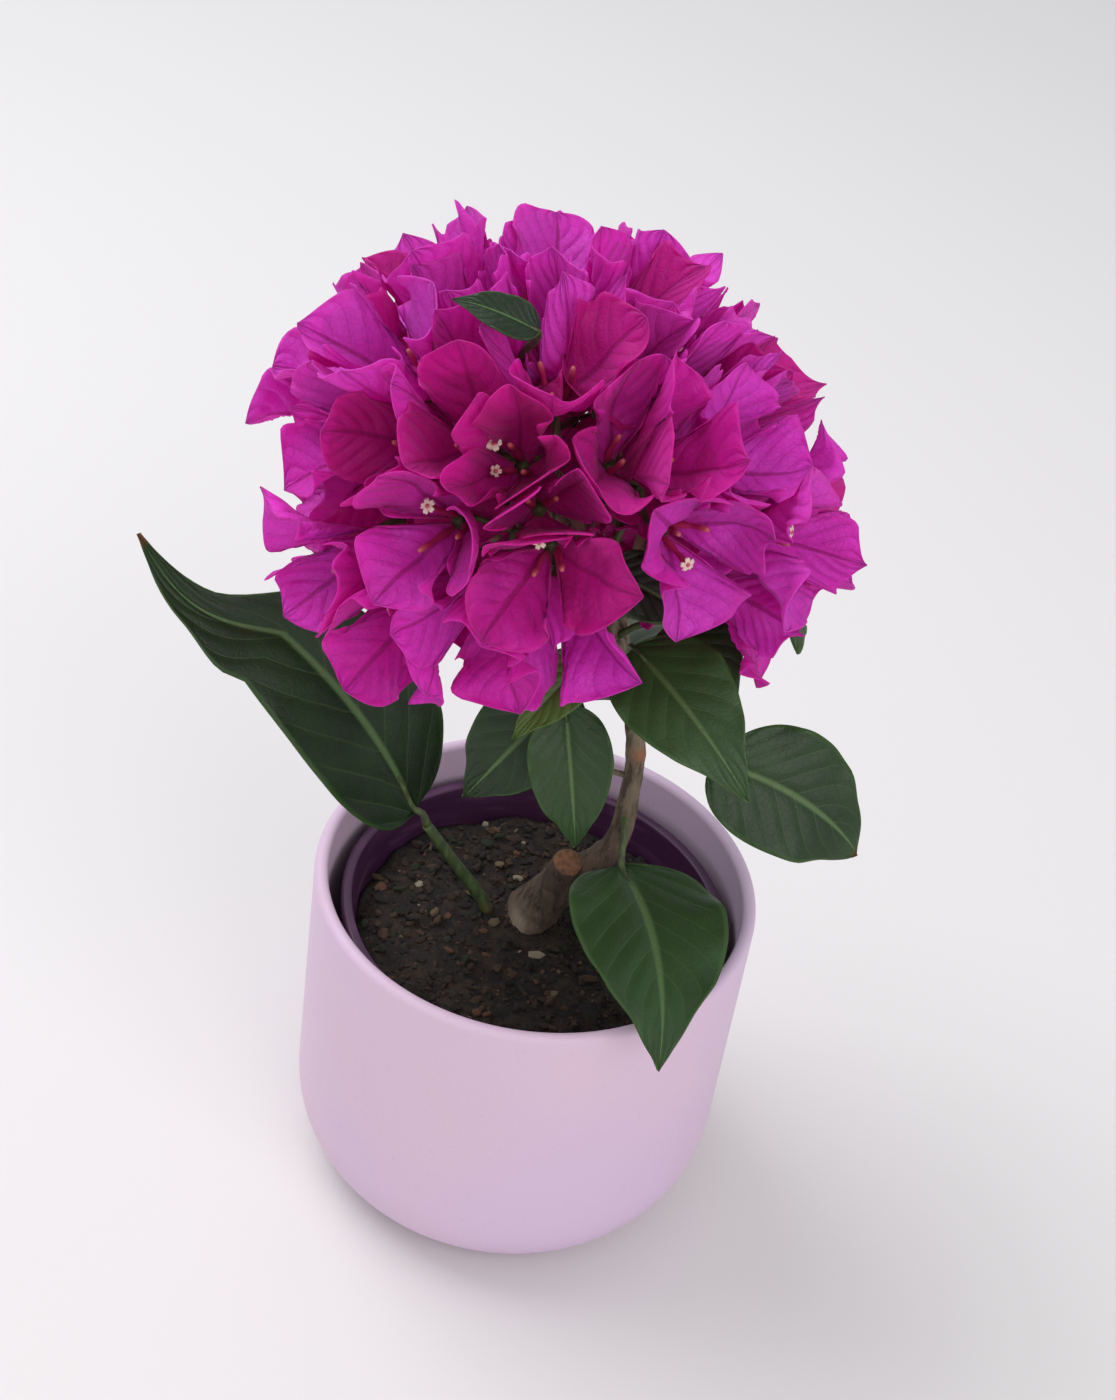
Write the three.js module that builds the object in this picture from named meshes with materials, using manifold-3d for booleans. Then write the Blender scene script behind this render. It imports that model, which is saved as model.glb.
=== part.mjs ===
// A young bougainvillea in a matt pink ceramic pot, about 31 cm tall.
// Millimetres, +Z up, origin at the middle of the pot's flat underside. The side that is seen first faces -Y.
//
// The pot holds a thin purple grow pot with its root ball. One bent woody stem rises from the soil, and boughs
// leave its upper half for the crown, a flattened ball of blooms. Each bloom has three papery bracts round its
// axis. Large leaves hang below the blooms, one of them on a green shoot of its own.

import * as THREE from "three";
import { mergeVertices } from "three/addons/utils/BufferGeometryUtils.js";
import Module from "manifold-3d";

const wasm = await Module();
wasm.setup();

// Driving dimensions
const POT_HEIGHT = 110;
const POT_RADIUS = 65;
const POT_WALL = 4;
const POT_FOOT_RADIUS = 40;
const POT_CURVE_HEIGHT = 30; // the wall runs into the foot in one quarter arc of this height
const POT_FLOOR = 6;

const GROW_POT_RIM_HEIGHT = 99;
const GROW_POT_RADIUS = 57; // at its rim
const GROW_POT_BASE_RADIUS = 37;
const GROW_POT_WALL = 1.2;
const GROW_POT_LIP = 2;

const SOIL_HEIGHT = 90; // the level of the soil's top above the pot's underside
const CLEARANCE = 0.3; // between pieces that touch

const CROWN_CENTRE = new THREE.Vector3(-14, 0, 252);
const CROWN_REACH = new THREE.Vector3(74, 68, 57); // half the crown's width, depth and height

const BLOOM_BASE_SHARE = 0.63; // how far out of the crown's centre a bloom's three bracts are joined
const LAYER_SHARE = 0.24; // how far the blooms' bases stand over and under each other, so that their bracts lie in layers
const BRACT_LENGTH = 31;
const BRACT_WIDTH = 31;
const BRACT_THICKNESS = 0.7;
const CELL_MARGIN = 0.55; // how far a bract's middle surface stays from the border with the next bloom
const THIRD_MARGIN = 0.4; // and from the border with the next bract of its own bloom
const BRACT_FOOT_RADIUS = 1.2; // a bract's foot is this far from its bloom's axis

const degrees = Math.PI / 180;
const UP = new THREE.Vector3(0, 0, 1);
const vec = (x, y, z) => new THREE.Vector3(x, y, z);

const material = (color, roughness) => new THREE.MeshStandardMaterial({ color, roughness, metalness: 0 });
const CERAMIC = material(0xd6b6cc, 0.55);
const PURPLE_PLASTIC = material(0x4a2350, 0.4);
const SOIL = material(0x2a211b, 0.95);
const BARK = material(0x6b5238, 0.85);
const GREEN_STEM = material(0x4d6a2c, 0.6);
const LEAF_GREEN = material(0x2c4a26, 0.5);
const MAGENTA = material(0xb81a94, 0.6);

// A repeatable source of numbers from 0 to 1, from a whole seed.
function seeded(seed) {
  let state = (Math.imul(seed + 1, 2654435761) + 12345) >>> 0;
  return () => {
    state = (Math.imul(state, 1664525) + 1013904223) >>> 0;
    return state / 4294967296;
  };
}

// A geometry as a manifold-3d solid, and back again.
function solidOf(geometry) {
  const bare = geometry.clone();
  bare.deleteAttribute("normal");
  bare.deleteAttribute("uv");
  const merged = mergeVertices(bare, 1e-4);
  return new wasm.Manifold(
    new wasm.Mesh({
      numProp: 3,
      vertProperties: new Float32Array(merged.attributes.position.array),
      triVerts: new Uint32Array(merged.index.array),
    }),
  );
}

function geometryOf(solid) {
  const { vertProperties, triVerts } = solid.getMesh();
  return new THREE.BufferGeometry()
    .setAttribute("position", new THREE.BufferAttribute(new Float32Array(vertProperties), 3))
    .setIndex(new THREE.BufferAttribute(new Uint32Array(triVerts), 1));
}

const join = (solids) => solids.reduce((all, one) => all.add(one));
const touches = (a, b) => a.intersect(b).volume() > 1e-3;

// The largest closed body of a solid: what a cut leaves loose beside it is dropped.
const largestBody = (solid) => solid.decompose().reduce((a, b) => (b.volume() > a.volume() ? b : a));

const root = new THREE.Group();
function addNode(name, geometry, finish) {
  const mesh = new THREE.Mesh(geometry, finish);
  mesh.name = name;
  root.add(mesh);
}

// A solid of revolution about Z from [radius, height] pairs that start and end on the axis.
function turned(profile, sides) {
  const points = profile.map(([radius, height]) => new THREE.Vector2(radius, height));
  return new THREE.LatheGeometry(points, sides).rotateX(Math.PI / 2);
}

// Points of a quarter arc in a profile, from angle to angle, about a centre with two half axes.
function arc(centreRadius, centreHeight, across, along, from, to, steps) {
  return Array.from({ length: steps + 1 }, (_, i) => {
    const angle = (from + ((to - from) * i) / steps) * degrees;
    return [centreRadius + across * Math.cos(angle), centreHeight + along * Math.sin(angle)];
  });
}

// Pot: a straight wall with a rounded rim, running into a narrower flat foot.
function ceramicPot() {
  const rim = POT_WALL / 2;
  const curve = POT_RADIUS - POT_FOOT_RADIUS;
  const innerFoot = POT_FOOT_RADIUS - POT_WALL;
  return turned(
    [
      [0, 0],
      ...arc(POT_FOOT_RADIUS, POT_CURVE_HEIGHT, curve, POT_CURVE_HEIGHT, -90, 0, 5),
      ...arc(POT_RADIUS - rim, POT_HEIGHT - rim, rim, rim, 0, 180, 4),
      ...arc(innerFoot, POT_CURVE_HEIGHT, curve, POT_CURVE_HEIGHT - POT_FLOOR, 0, -90, 3),
      [0, POT_FLOOR],
    ],
    44,
  );
}

// Grow pot: a thin tapered plastic cup with a small rolled lip, standing on the pot's floor.
function growPot() {
  const foot = POT_FLOOR + CLEARANCE;
  return turned(
    [
      [0, foot],
      [GROW_POT_BASE_RADIUS, foot],
      [GROW_POT_RADIUS - GROW_POT_LIP, GROW_POT_RIM_HEIGHT - GROW_POT_LIP * 2],
      [GROW_POT_RADIUS, GROW_POT_RIM_HEIGHT - GROW_POT_LIP * 2],
      [GROW_POT_RADIUS, GROW_POT_RIM_HEIGHT],
      [GROW_POT_RADIUS - GROW_POT_LIP - GROW_POT_WALL, GROW_POT_RIM_HEIGHT],
      [GROW_POT_BASE_RADIUS - GROW_POT_WALL, foot + GROW_POT_WALL],
      [0, foot + GROW_POT_WALL],
    ],
    36,
  );
}

// Soil: the root ball, clear of the grow pot's wall, with a level top that sinks a little at its edge.
function rootBall() {
  const foot = POT_FLOOR + GROW_POT_WALL + 2 * CLEARANCE;
  const inside = (height) => {
    const share = (height - POT_FLOOR) / (GROW_POT_RIM_HEIGHT - POT_FLOOR);
    const wide = GROW_POT_RADIUS - GROW_POT_LIP - GROW_POT_WALL;
    return THREE.MathUtils.lerp(GROW_POT_BASE_RADIUS - GROW_POT_WALL, wide, share) - 2 * CLEARANCE;
  };
  return turned(
    [
      [0, foot],
      [inside(foot), foot],
      [inside(SOIL_HEIGHT - 3), SOIL_HEIGHT - 3],
      [inside(SOIL_HEIGHT) - 6, SOIL_HEIGHT],
      [0, SOIL_HEIGHT],
    ],
    36,
  );
}

addNode("pot", ceramicPot(), CERAMIC);
addNode("grow_pot", growPot(), PURPLE_PLASTIC);
addNode("soil", rootBall(), SOIL);

// A tapering limb along a smooth curve. widths are radii at even steps from its foot to its tip. A limb that grows
// from the soil has a level foot.
function limb(points, widths, sides, steps, swell = 0, level = false) {
  const curve = new THREE.CatmullRomCurve3(points, false, "centripetal");
  const frames = curve.computeFrenetFrames(steps, false);
  const geometry = new THREE.CylinderGeometry(1, 1, 1, sides, steps);
  const place = geometry.attributes.position;
  for (let i = 0; i < place.count; i++) {
    const t = place.getY(i) + 0.5;
    const step = Math.round(t * steps);
    const along = t * (widths.length - 1);
    const before = Math.min(Math.floor(along), widths.length - 2);
    const radius = THREE.MathUtils.lerp(widths[before], widths[before + 1], along - before) + swell;
    const at = curve.getPointAt(t);
    at.addScaledVector(frames.normals[step], place.getX(i) * radius);
    at.addScaledVector(frames.binormals[step], -place.getZ(i) * radius);
    if (level && step === 0) at.z = points[0].z;
    place.setXYZ(i, at.x, at.y, at.z);
  }
  const solid = solidOf(geometry);
  if (solid.volume() > 0) return solid;
  const turnedRound = geometry.index.array;
  for (let i = 0; i < turnedRound.length; i += 3)
    [turnedRound[i + 1], turnedRound[i + 2]] = [turnedRound[i + 2], turnedRound[i + 1]];
  return solidOf(geometry);
}

// Trunk: it leans right from the soil, bends up past a pruned stub, and leads back left into the crown.
const SOIL_TOP = SOIL_HEIGHT + CLEARANCE;
const TRUNK_LINE = [
  vec(0, 4, SOIL_TOP),
  vec(3, 4, 98),
  vec(11, 1, 113),
  vec(20, -1, 127),
  vec(22, 0, 145),
  vec(21, 0, 165),
  vec(14, 0, 190),
  vec(4, 0, 215),
  vec(-6, 0, 240),
];
const TRUNK_WIDTHS = [8, 5.3, 3.6, 2.9, 2.6, 2.4, 2.2, 2.0, 1.6];
const STUB = { from: vec(5, 3, 104), to: vec(8, -3, 120), radius: 4.8, tip: 4.2 };
const SPUR = { from: vec(21, 0, 153), to: vec(12, -3, 157), radius: 0.9, tip: 0.7 };
const trunkParts = (swell) =>
  join([
    limb(TRUNK_LINE, TRUNK_WIDTHS, 9, 20, swell, true),
    limb([STUB.from, STUB.to], [STUB.radius, STUB.tip], 8, 1, swell),
    limb([SPUR.from, SPUR.to], [SPUR.radius, SPUR.tip], 5, 1, swell),
  ]);
const trunkCurve = new THREE.CatmullRomCurve3(TRUNK_LINE, false, "centripetal");
const trunk = trunkParts(0);
const trunkClear = trunkParts(CLEARANCE);
addNode("trunk", geometryOf(trunk), BARK);

// Shoot: a thin green stem that leaves the soil beside the trunk and carries the largest leaf.
const SHOOT_LINE = [vec(-13, 3, SOIL_TOP), vec(-17, 3, 97), vec(-26, 2, 110), vec(-34, 1, 122)];
const SHOOT_WIDTHS = [2.1, 1.8, 1.5];
addNode("shoot_left", geometryOf(limb(SHOOT_LINE, SHOOT_WIDTHS, 7, 8, 0, true)), GREEN_STEM);
const shootClear = limb(SHOOT_LINE, SHOOT_WIDTHS, 7, 8, CLEARANCE, true);

// Directions on the crown. Azimuth 0 faces -Y and 90 faces +X, elevation is above the level.
function direction(azimuth, elevation) {
  const a = azimuth * degrees;
  const e = elevation * degrees;
  return vec(Math.sin(a) * Math.cos(e), -Math.cos(a) * Math.cos(e), Math.sin(e));
}
const onCrown = (way, share) => way.clone().multiply(CROWN_REACH).multiplyScalar(share).add(CROWN_CENTRE);

// Each bough leaves the trunk at a height and carries one or two masses of blooms. A mass has an azimuth, an
// elevation, the angle from its middle to each of its blooms, their turn about its middle, and a reach as a share of
// the crown's.
const BOUGHS = [
  {
    name: "top",
    height: 236,
    masses: [
      { name: "top_back", azimuth: 155, elevation: 70, spread: 14, turn: 40, reach: 1.09 },
      { name: "top_left", azimuth: -57, elevation: 66, spread: 15.5, turn: 97, reach: 0.9 },
    ],
  },
  {
    name: "upper_right",
    height: 230,
    masses: [
      { name: "top_right", azimuth: 80, elevation: 56, spread: 17, turn: 42, reach: 0.87 },
      { name: "back_right", azimuth: 143, elevation: 24, spread: 15, turn: 19, reach: 0.94 },
    ],
  },
  {
    name: "upper_front",
    height: 225,
    masses: [
      { name: "front_upper", azimuth: 0, elevation: 38, spread: 20, turn: 90, reach: 1.0, count: 4 },
      { name: "front_middle", azimuth: -8, elevation: 33, spread: 0, turn: 0, reach: 1.0, count: 1, seed: 61 },
      { name: "front_right", azimuth: 46, elevation: 24, spread: 15, turn: 45, reach: 1.0 },
    ],
  },
  {
    name: "upper_back",
    height: 221,
    masses: [
      { name: "back_upper", azimuth: -161, elevation: 30, spread: 14.5, turn: 87, reach: 0.85 },
      { name: "back_left", azimuth: -116, elevation: 26, spread: 16.5, turn: 12, reach: 0.9 },
    ],
  },
  {
    name: "left",
    height: 216,
    masses: [
      { name: "left", azimuth: -61, elevation: 25, spread: 15, turn: 34, reach: 0.85 },
      { name: "front", azimuth: -9, elevation: -2, spread: 16.5, turn: 60, reach: 0.93 },
    ],
  },
  {
    name: "right",
    height: 211,
    masses: [
      { name: "right", azimuth: 101, elevation: 14, spread: 17, turn: 95, reach: 0.71 },
      { name: "right_low", azimuth: 72, elevation: -9, spread: 14.5, turn: 36, reach: 1.07 },
    ],
  },
  {
    name: "back",
    height: 206,
    masses: [
      { name: "back_low", azimuth: 172, elevation: -11, spread: 15.5, turn: 73, reach: 1.0 },
      { name: "back_left_low", azimuth: -147, elevation: -31, spread: 15.5, turn: 15, reach: 0.96 },
    ],
  },
  {
    name: "left_low",
    height: 201,
    masses: [
      { name: "left_low", azimuth: -100, elevation: -18, spread: 16, turn: 55, reach: 1.04 },
      { name: "front_left_low", azimuth: -54, elevation: -36, spread: 15, turn: 12, reach: 1.26 },
    ],
  },
  { name: "front", height: 197, masses: [{ name: "front_low", azimuth: -7, elevation: -32, spread: 15, turn: 90, reach: 0.96, count: 2 }] },
  {
    name: "back_right",
    height: 193,
    masses: [{ name: "back_right_low", azimuth: 134, elevation: -34, spread: 16, turn: 3, reach: 1.0 }],
  },
];
const masses = BOUGHS.flatMap((bough) => bough.masses);
const BLOOMS_IN_A_MASS = 3;
const BOUGH_TIP_SHARE = 0.34; // how far out of the crown's centre a bough ends
const MASS_NODE_SHARE = 0.48; // where a mass's stem divides
const BOUGH_WIDTHS = [2.2, 1.8, 1.5];

// A direction turned away from an axis by an angle, towards a clock angle about that axis.
function turnedAway(axis, angle, clock) {
  const side = new THREE.Vector3().crossVectors(axis, UP).normalize();
  const over = new THREE.Vector3().crossVectors(side, axis);
  const away = side.multiplyScalar(Math.sin(clock * degrees)).addScaledVector(over, Math.cos(clock * degrees));
  return axis.clone().multiplyScalar(Math.cos(angle * degrees)).addScaledVector(away, Math.sin(angle * degrees));
}

// Every bloom of the crown: where its bracts join, its axis, its size, and the point that its cell is round.
const CELL_POINT_RISE = 12;
const SKYWARD = 0.22; // how much the low blooms turn up to the light
const blooms = [];
let nextSeed = 0;
for (const bough of BOUGHS)
  for (const mass of bough.masses) {
    mass.way = direction(mass.azimuth, mass.elevation);
    mass.node = onCrown(mass.way, MASS_NODE_SHARE);
    mass.blooms = [];
    const count = mass.count ?? BLOOMS_IN_A_MASS;
    for (let k = 0; k < count; k++) {
      const random = seeded(mass.seed ?? nextSeed++);
      const clock = mass.turn + (360 / count) * k;
      const way = turnedAway(mass.way, mass.spread, clock);
      const base = onCrown(way, BLOOM_BASE_SHARE * mass.reach + LAYER_SHARE * (random() - 0.5));
      const axis = way.clone().divide(CROWN_REACH).normalize();
      axis.z += SKYWARD * (1 - way.z);
      axis.add(vec(random() - 0.5, random() - 0.5, random() - 0.5).multiplyScalar(0.45)).normalize();
      const bloom = { way, base, axis, size: 0.94 + 0.16 * random(), spin: 360 * random(), random };
      bloom.cellPoint = base.clone().addScaledVector(axis, CELL_POINT_RISE);
      mass.blooms.push(bloom);
      blooms.push(bloom);
    }
  }

// The borders of a bloom's cell: planes halfway to each near bloom. A point is inside where it is behind them.
const NEAR_BLOOM = 75;
function cellBorders(bloom) {
  return blooms
    .filter((other) => other !== bloom && other.cellPoint.distanceTo(bloom.cellPoint) < NEAR_BLOOM)
    .map((other) => {
      const normal = other.cellPoint.clone().sub(bloom.cellPoint).normalize();
      const middle = other.cellPoint.clone().add(bloom.cellPoint).multiplyScalar(0.5);
      return { normal, offset: normal.dot(middle) - CELL_MARGIN };
    });
}

// The borders of one bract's third of its bloom: two planes through the bloom's axis, 60 degrees to each side.
function thirdBorders(bloom, clock) {
  return [150, -150].map((turn) => {
    const normal = turnedAway(bloom.axis, 90, clock + turn);
    return { normal, offset: normal.dot(bloom.base) - THIRD_MARGIN };
  });
}

// What would cross a border turns up along it, as a bract does that is pressed against the next bloom.
const TURN_UP = 0.75;
function keptInside(point, borders, outward) {
  const kept = point.clone();
  for (let pass = 0; pass < 120; pass++) {
    let moved = false;
    for (const { normal, offset } of borders) {
      const over = normal.dot(kept) - offset;
      if (over <= 1e-6) continue;
      moved = true;
      kept.addScaledVector(normal, -over);
      if (pass === 0) kept.addScaledVector(outward, over * TURN_UP);
    }
    if (!moved) return kept;
  }
  return null;
}

// A closed thin blade round a middle surface. surface(u, v) gives a point for u from foot to tip and v from
// -1 to 1. It is thickest along its middle and comes to a fine edge all round.
function blade(surface, stations, columns, thickness) {
  const rows = stations.map((u) =>
    Array.from({ length: columns }, (_, j) => surface(u, (2 * j) / (columns - 1) - 1)),
  );
  if (rows.flat().includes(null)) return null;
  const last = rows.length - 1;
  const rowAt = (i) => rows[THREE.MathUtils.clamp(i, 0, last)];
  const upperOf = (i, j, side) => {
    const across = rowAt(i)[Math.min(j + 1, columns - 1)].clone().sub(rowAt(i)[Math.max(j - 1, 0)]);
    const along = rowAt(i + 1)[j].clone().sub(rowAt(i - 1)[j]);
    const normal = across.cross(along).normalize();
    const v = (2 * j) / (columns - 1) - 1;
    return rows[i][j].clone().addScaledVector(normal, side * 0.5 * thickness * (1 - v * v));
  };
  const positions = [];
  const indices = [];
  const put = (p) => positions.push(p.x, p.y, p.z) / 3 - 1;
  const grid = [1, -1].map((side) =>
    rows.slice(0, last).map((row, i) => row.map((_, j) => put(upperOf(i, j, side)))),
  );
  for (let i = 0; i < last; i++)
    for (const j of [0, columns - 1]) grid[1][i][j] = grid[0][i][j]; // both sides share the edge
  const tip = put(rows[last][(columns - 1) / 2]);
  const face = (a, b, c, side) => (side === 0 ? indices.push(a, b, c) : indices.push(a, c, b));
  for (const side of [0, 1])
    for (let j = 0; j < columns - 1; j++) {
      for (let i = 0; i < last - 1; i++) {
        const [a, b] = [grid[side][i][j], grid[side][i][j + 1]];
        const [c, d] = [grid[side][i + 1][j], grid[side][i + 1][j + 1]];
        face(a, b, d, side);
        face(a, d, c, side);
      }
      face(grid[side][last - 1][j], grid[side][last - 1][j + 1], tip, side);
    }
  for (let j = 0; j < columns - 1; j++) {
    const [a, b] = [grid[0][0][j], grid[0][0][j + 1]];
    const [c, d] = [grid[1][0][j], grid[1][0][j + 1]];
    if (d !== b) indices.push(a, d, b);
    if (c !== a) indices.push(a, c, d);
  }
  const geometry = new THREE.BufferGeometry()
    .setAttribute("position", new THREE.BufferAttribute(new Float32Array(positions), 3))
    .setIndex(indices);
  const solid = solidOf(geometry);
  return solid.volume() > 0 ? solid : null;
}

// The half width of a blade along its length, as a share of its widest. It widens fast from its foot and narrows
// to its tip, the more drawn out the higher the taper.
const OVATE_RISE = 0.45;
function ovate(u, taper, foot) {
  const widest = OVATE_RISE / (OVATE_RISE + taper);
  const shape = (t) => Math.pow(t, OVATE_RISE) * Math.pow(1 - t, taper);
  return Math.max(foot * (1 - u), shape(u) / shape(widest));
}

const BRACT_STATIONS = [0, 0.14, 0.4, 0.72, 1];
const BRACT_TAPER = 0.5;
function bractSolids(bloom) {
  const { base, axis, random } = bloom;
  const cell = cellBorders(bloom);
  const solids = [];
  const opening = 52 + 26 * random();
  for (let k = 0; k < 3; k++) {
    const clock = bloom.spin + 120 * k;
    const borders = [...cell, ...thirdBorders(bloom, clock)];
    const radial = turnedAway(axis, 90, clock + 14 * (random() - 0.5));
    const side = new THREE.Vector3().crossVectors(axis, radial);
    const length = BRACT_LENGTH * bloom.size * (0.94 + 0.12 * random());
    const halfWidth = (BRACT_WIDTH / 2) * bloom.size * (0.92 + 0.16 * random());
    const atFoot = 34 * degrees;
    const atTip = (opening + 22 * (random() - 0.5)) * degrees;
    const cup = 0.22 + 0.3 * random();
    const wave = 0.1 + 0.16 * random();
    const phase = 2 * Math.PI * random();
    const surface = (u, v) => {
      const middle = base.clone().addScaledVector(radial, BRACT_FOOT_RADIUS);
      const steps = 12;
      let angle = atFoot;
      for (let i = 0; i < steps; i++) {
        angle = atFoot + (atTip - atFoot) * Math.pow((u * (i + 0.5)) / steps, 0.8);
        middle.addScaledVector(axis, (Math.cos(angle) * u * length) / steps);
        middle.addScaledVector(radial, (Math.sin(angle) * u * length) / steps);
      }
      const inward = axis.clone().multiplyScalar(Math.sin(angle)).addScaledVector(radial, -Math.cos(angle));
      const half = halfWidth * ovate(u, BRACT_TAPER, 0.12);
      const lift = cup * v * v + wave * v * Math.abs(v) * Math.sin(2 * Math.PI * 1.2 * u + phase);
      const point = middle.addScaledVector(side, half * v * (1 - 0.12 * v * v)).addScaledVector(inward, half * lift);
      return keptInside(point, borders, axis);
    };
    const solid = blade(surface, BRACT_STATIONS, 3, BRACT_THICKNESS);
    if (solid) solids.push(solid);
  }
  return solids;
}

// Green leaves. Each has the place where its stalk leaves a limb, its blade's foot and tip, its width, the way
// that its face looks, how far it arches towards that way and bows to its side, and how far its sides fold up. A
// drip is the share of its width that it loses just before its tip, and a hook is how far its tip swings back.
// A leaf is a node of its own, or sits on a mass's stem.
const LEAVES = [
  {
    mass: "top_left",
    foot: vec(-24, -30, 307),
    tip: vec(-44, -27, 308),
    width: 13,
    face: vec(-0.1, -0.55, 0.83),
    arch: 2,
    fold: 0.2,
  },
  {
    mass: "front_right",
    foot: vec(5, -27, 241),
    tip: vec(29, -30, 232),
    width: 17,
    face: vec(0, -0.8, 0.6),
    arch: 2,
    fold: 0.15,
  },
  {
    node: "leaf_far_left",
    stalk: vec(-34, 1, 122),
    foot: vec(-38, 1, 127),
    tip: vec(-117, -6, 213),
    width: 42,
    taper: 0.9,
    face: vec(0.45, -0.75, 0.5),
    arch: 9,
    fold: 0.25,
    bow: 7.5,
    drip: 0.44,
    hook: 8.5,
  },
  {
    node: "leaf_low_right",
    stalk: vec(21.5, -0.5, 141),
    foot: vec(23, -12, 130),
    tip: vec(40, -73, 116),
    width: 43,
    face: vec(0.05, -0.35, 0.94),
    arch: 5,
    fold: 0.08,
    bow: -4,
  },
  {
    node: "leaf_far_right",
    stalk: vec(20, 0, 170),
    foot: vec(44, 6, 158),
    tip: vec(91, 8, 131),
    width: 37,
    face: vec(0.15, -0.78, 0.6),
    arch: 4,
    fold: 0.05,
    bow: -4,
    taper: 0.7,
  },
  {
    node: "leaf_front_right",
    stalk: vec(14, 0, 190),
    foot: vec(15, -22, 214),
    tip: vec(49, -56, 198),
    width: 30,
    face: vec(0.1, -0.7, 0.7),
    arch: 7,
    fold: 0.12,
  },
  {
    node: "leaf_front_left",
    stalk: vec(12, 0, 195),
    foot: vec(1, -9, 188),
    tip: vec(-24, -16, 149),
    width: 28,
    face: vec(-0.1, -0.85, 0.5),
    arch: 5,
    fold: 0.12,
  },
  {
    node: "leaf_front_low",
    stalk: vec(17, 0, 180),
    foot: vec(0, -17, 188),
    tip: vec(9, -27, 147),
    width: 23,
    face: vec(0.1, -0.9, 0.4),
    arch: 4,
    fold: 0.15,
    bow: 0,
  },
  {
    node: "leaf_front_small",
    stalk: vec(7, 0, 207),
    foot: vec(4, -30, 215),
    tip: vec(-12, -47, 198),
    width: 15,
    face: vec(-0.2, -0.75, 0.62),
    arch: 3,
    fold: 0.2,
  },
  {
    node: "leaf_right_small",
    stalk: vec(10, 0, 200),
    foot: vec(24, -8, 214),
    tip: vec(44, -24, 203),
    width: 24,
    face: vec(0.2, -0.6, 0.75),
    arch: 3,
    fold: 0.15,
  },
  {
    node: "leaf_back_left",
    stalk: vec(17, 0, 181),
    foot: vec(-6, 18, 190),
    tip: vec(-52, 40, 165),
    width: 36,
    face: vec(-0.35, 0.4, 0.85),
    arch: 7,
    fold: 0.12,
  },
  {
    node: "leaf_back",
    stalk: vec(19, 0, 173),
    foot: vec(16, 24, 178),
    tip: vec(8, 72, 150),
    width: 38,
    face: vec(0, 0.45, 0.89),
    arch: 7,
    fold: 0.1,
  },
  {
    node: "leaf_back_right",
    stalk: vec(8, 0, 205),
    foot: vec(30, 20, 206),
    tip: vec(66, 44, 176),
    width: 34,
    face: vec(0.4, 0.3, 0.86),
    arch: 6,
    fold: 0.12,
  },
];
const LEAF_THICKNESS_SHARE = 0.02;
const LEAF_TAPER = 0.95;
const STALK_WIDTHS = [1.3, 1.1];
const LEAF_STATIONS = [0, 0.08, 0.22, 0.42, 0.66, 0.82, 1];

function leafSolid(leaf) {
  const along = leaf.tip.clone().sub(leaf.foot);
  const length = along.length();
  along.normalize();
  const side = new THREE.Vector3().crossVectors(along, leaf.face).normalize();
  const face = new THREE.Vector3().crossVectors(side, along).normalize();
  const surface = (u, v) => {
    const drawnOut = 1 - (leaf.drip ?? 0) * THREE.MathUtils.smoothstep(u, 0.66, 0.82);
    const half = (leaf.width / 2) * ovate(u, leaf.taper ?? LEAF_TAPER, 0.06) * drawnOut;
    const rise = 4 * leaf.arch * u * (1 - u) + half * leaf.fold * Math.abs(v);
    const hook = (leaf.hook ?? 0) * Math.sin(Math.PI * THREE.MathUtils.clamp((u - 0.62) / 0.38, 0, 1));
    return leaf.foot
      .clone()
      .addScaledVector(along, u * length)
      .addScaledVector(side, half * v + 4 * (leaf.bow ?? 0) * u * (1 - u) - hook)
      .addScaledVector(face, rise);
  };
  const made = blade(surface, LEAF_STATIONS, 5, length * LEAF_THICKNESS_SHARE);
  const sunk = leaf.foot.clone().addScaledVector(along, 0.1 * length).addScaledVector(face, 0.3 * leaf.arch);
  const stalk = leaf.stalk ?? masses.find((mass) => mass.name === leaf.mass).node;
  const halfway = stalk.clone().lerp(leaf.foot, 0.5).addScaledVector(UP, 2);
  return made.add(limb([stalk, halfway, leaf.foot, sunk], STALK_WIDTHS, 3, 3));
}

// Boughs: each leaves the trunk 0.3 mm clear of its bark and ends where its masses begin.
function trunkPointAt(height) {
  let low = 0;
  let high = 1;
  for (let i = 0; i < 30; i++) {
    const middle = (low + high) / 2;
    if (trunkCurve.getPointAt(middle).z < height) low = middle;
    else high = middle;
  }
  return trunkCurve.getPointAt(low);
}

const boughsClear = [];
for (const bough of BOUGHS) {
  const middleWay = new THREE.Vector3();
  for (const mass of bough.masses) middleWay.add(mass.way);
  middleWay.normalize();
  const start = trunkPointAt(bough.height);
  const end = onCrown(middleWay, BOUGH_TIP_SHARE);
  const bend = start.clone().lerp(end, 0.5).add(vec(middleWay.x * 4, middleWay.y * 4, -3));
  bough.line = [start, bend, end];
  bough.solid = limb(bough.line, BOUGH_WIDTHS, 6, 5).subtract(trunkClear);
  for (const other of boughsClear) bough.solid = bough.solid.subtract(other);
  bough.solid = largestBody(bough.solid);
  boughsClear.push(limb(bough.line, BOUGH_WIDTHS, 6, 5, CLEARANCE));
  addNode("bough_" + bough.name, geometryOf(bough.solid), BARK);
}
const limbsClear = join([trunkClear, shootClear, ...boughsClear]);

for (const leaf of LEAVES) {
  leaf.solid = largestBody(leafSolid(leaf).subtract(limbsClear));
  if (leaf.node) addNode(leaf.node, geometryOf(leaf.solid), LEAF_GREEN);
}

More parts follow.
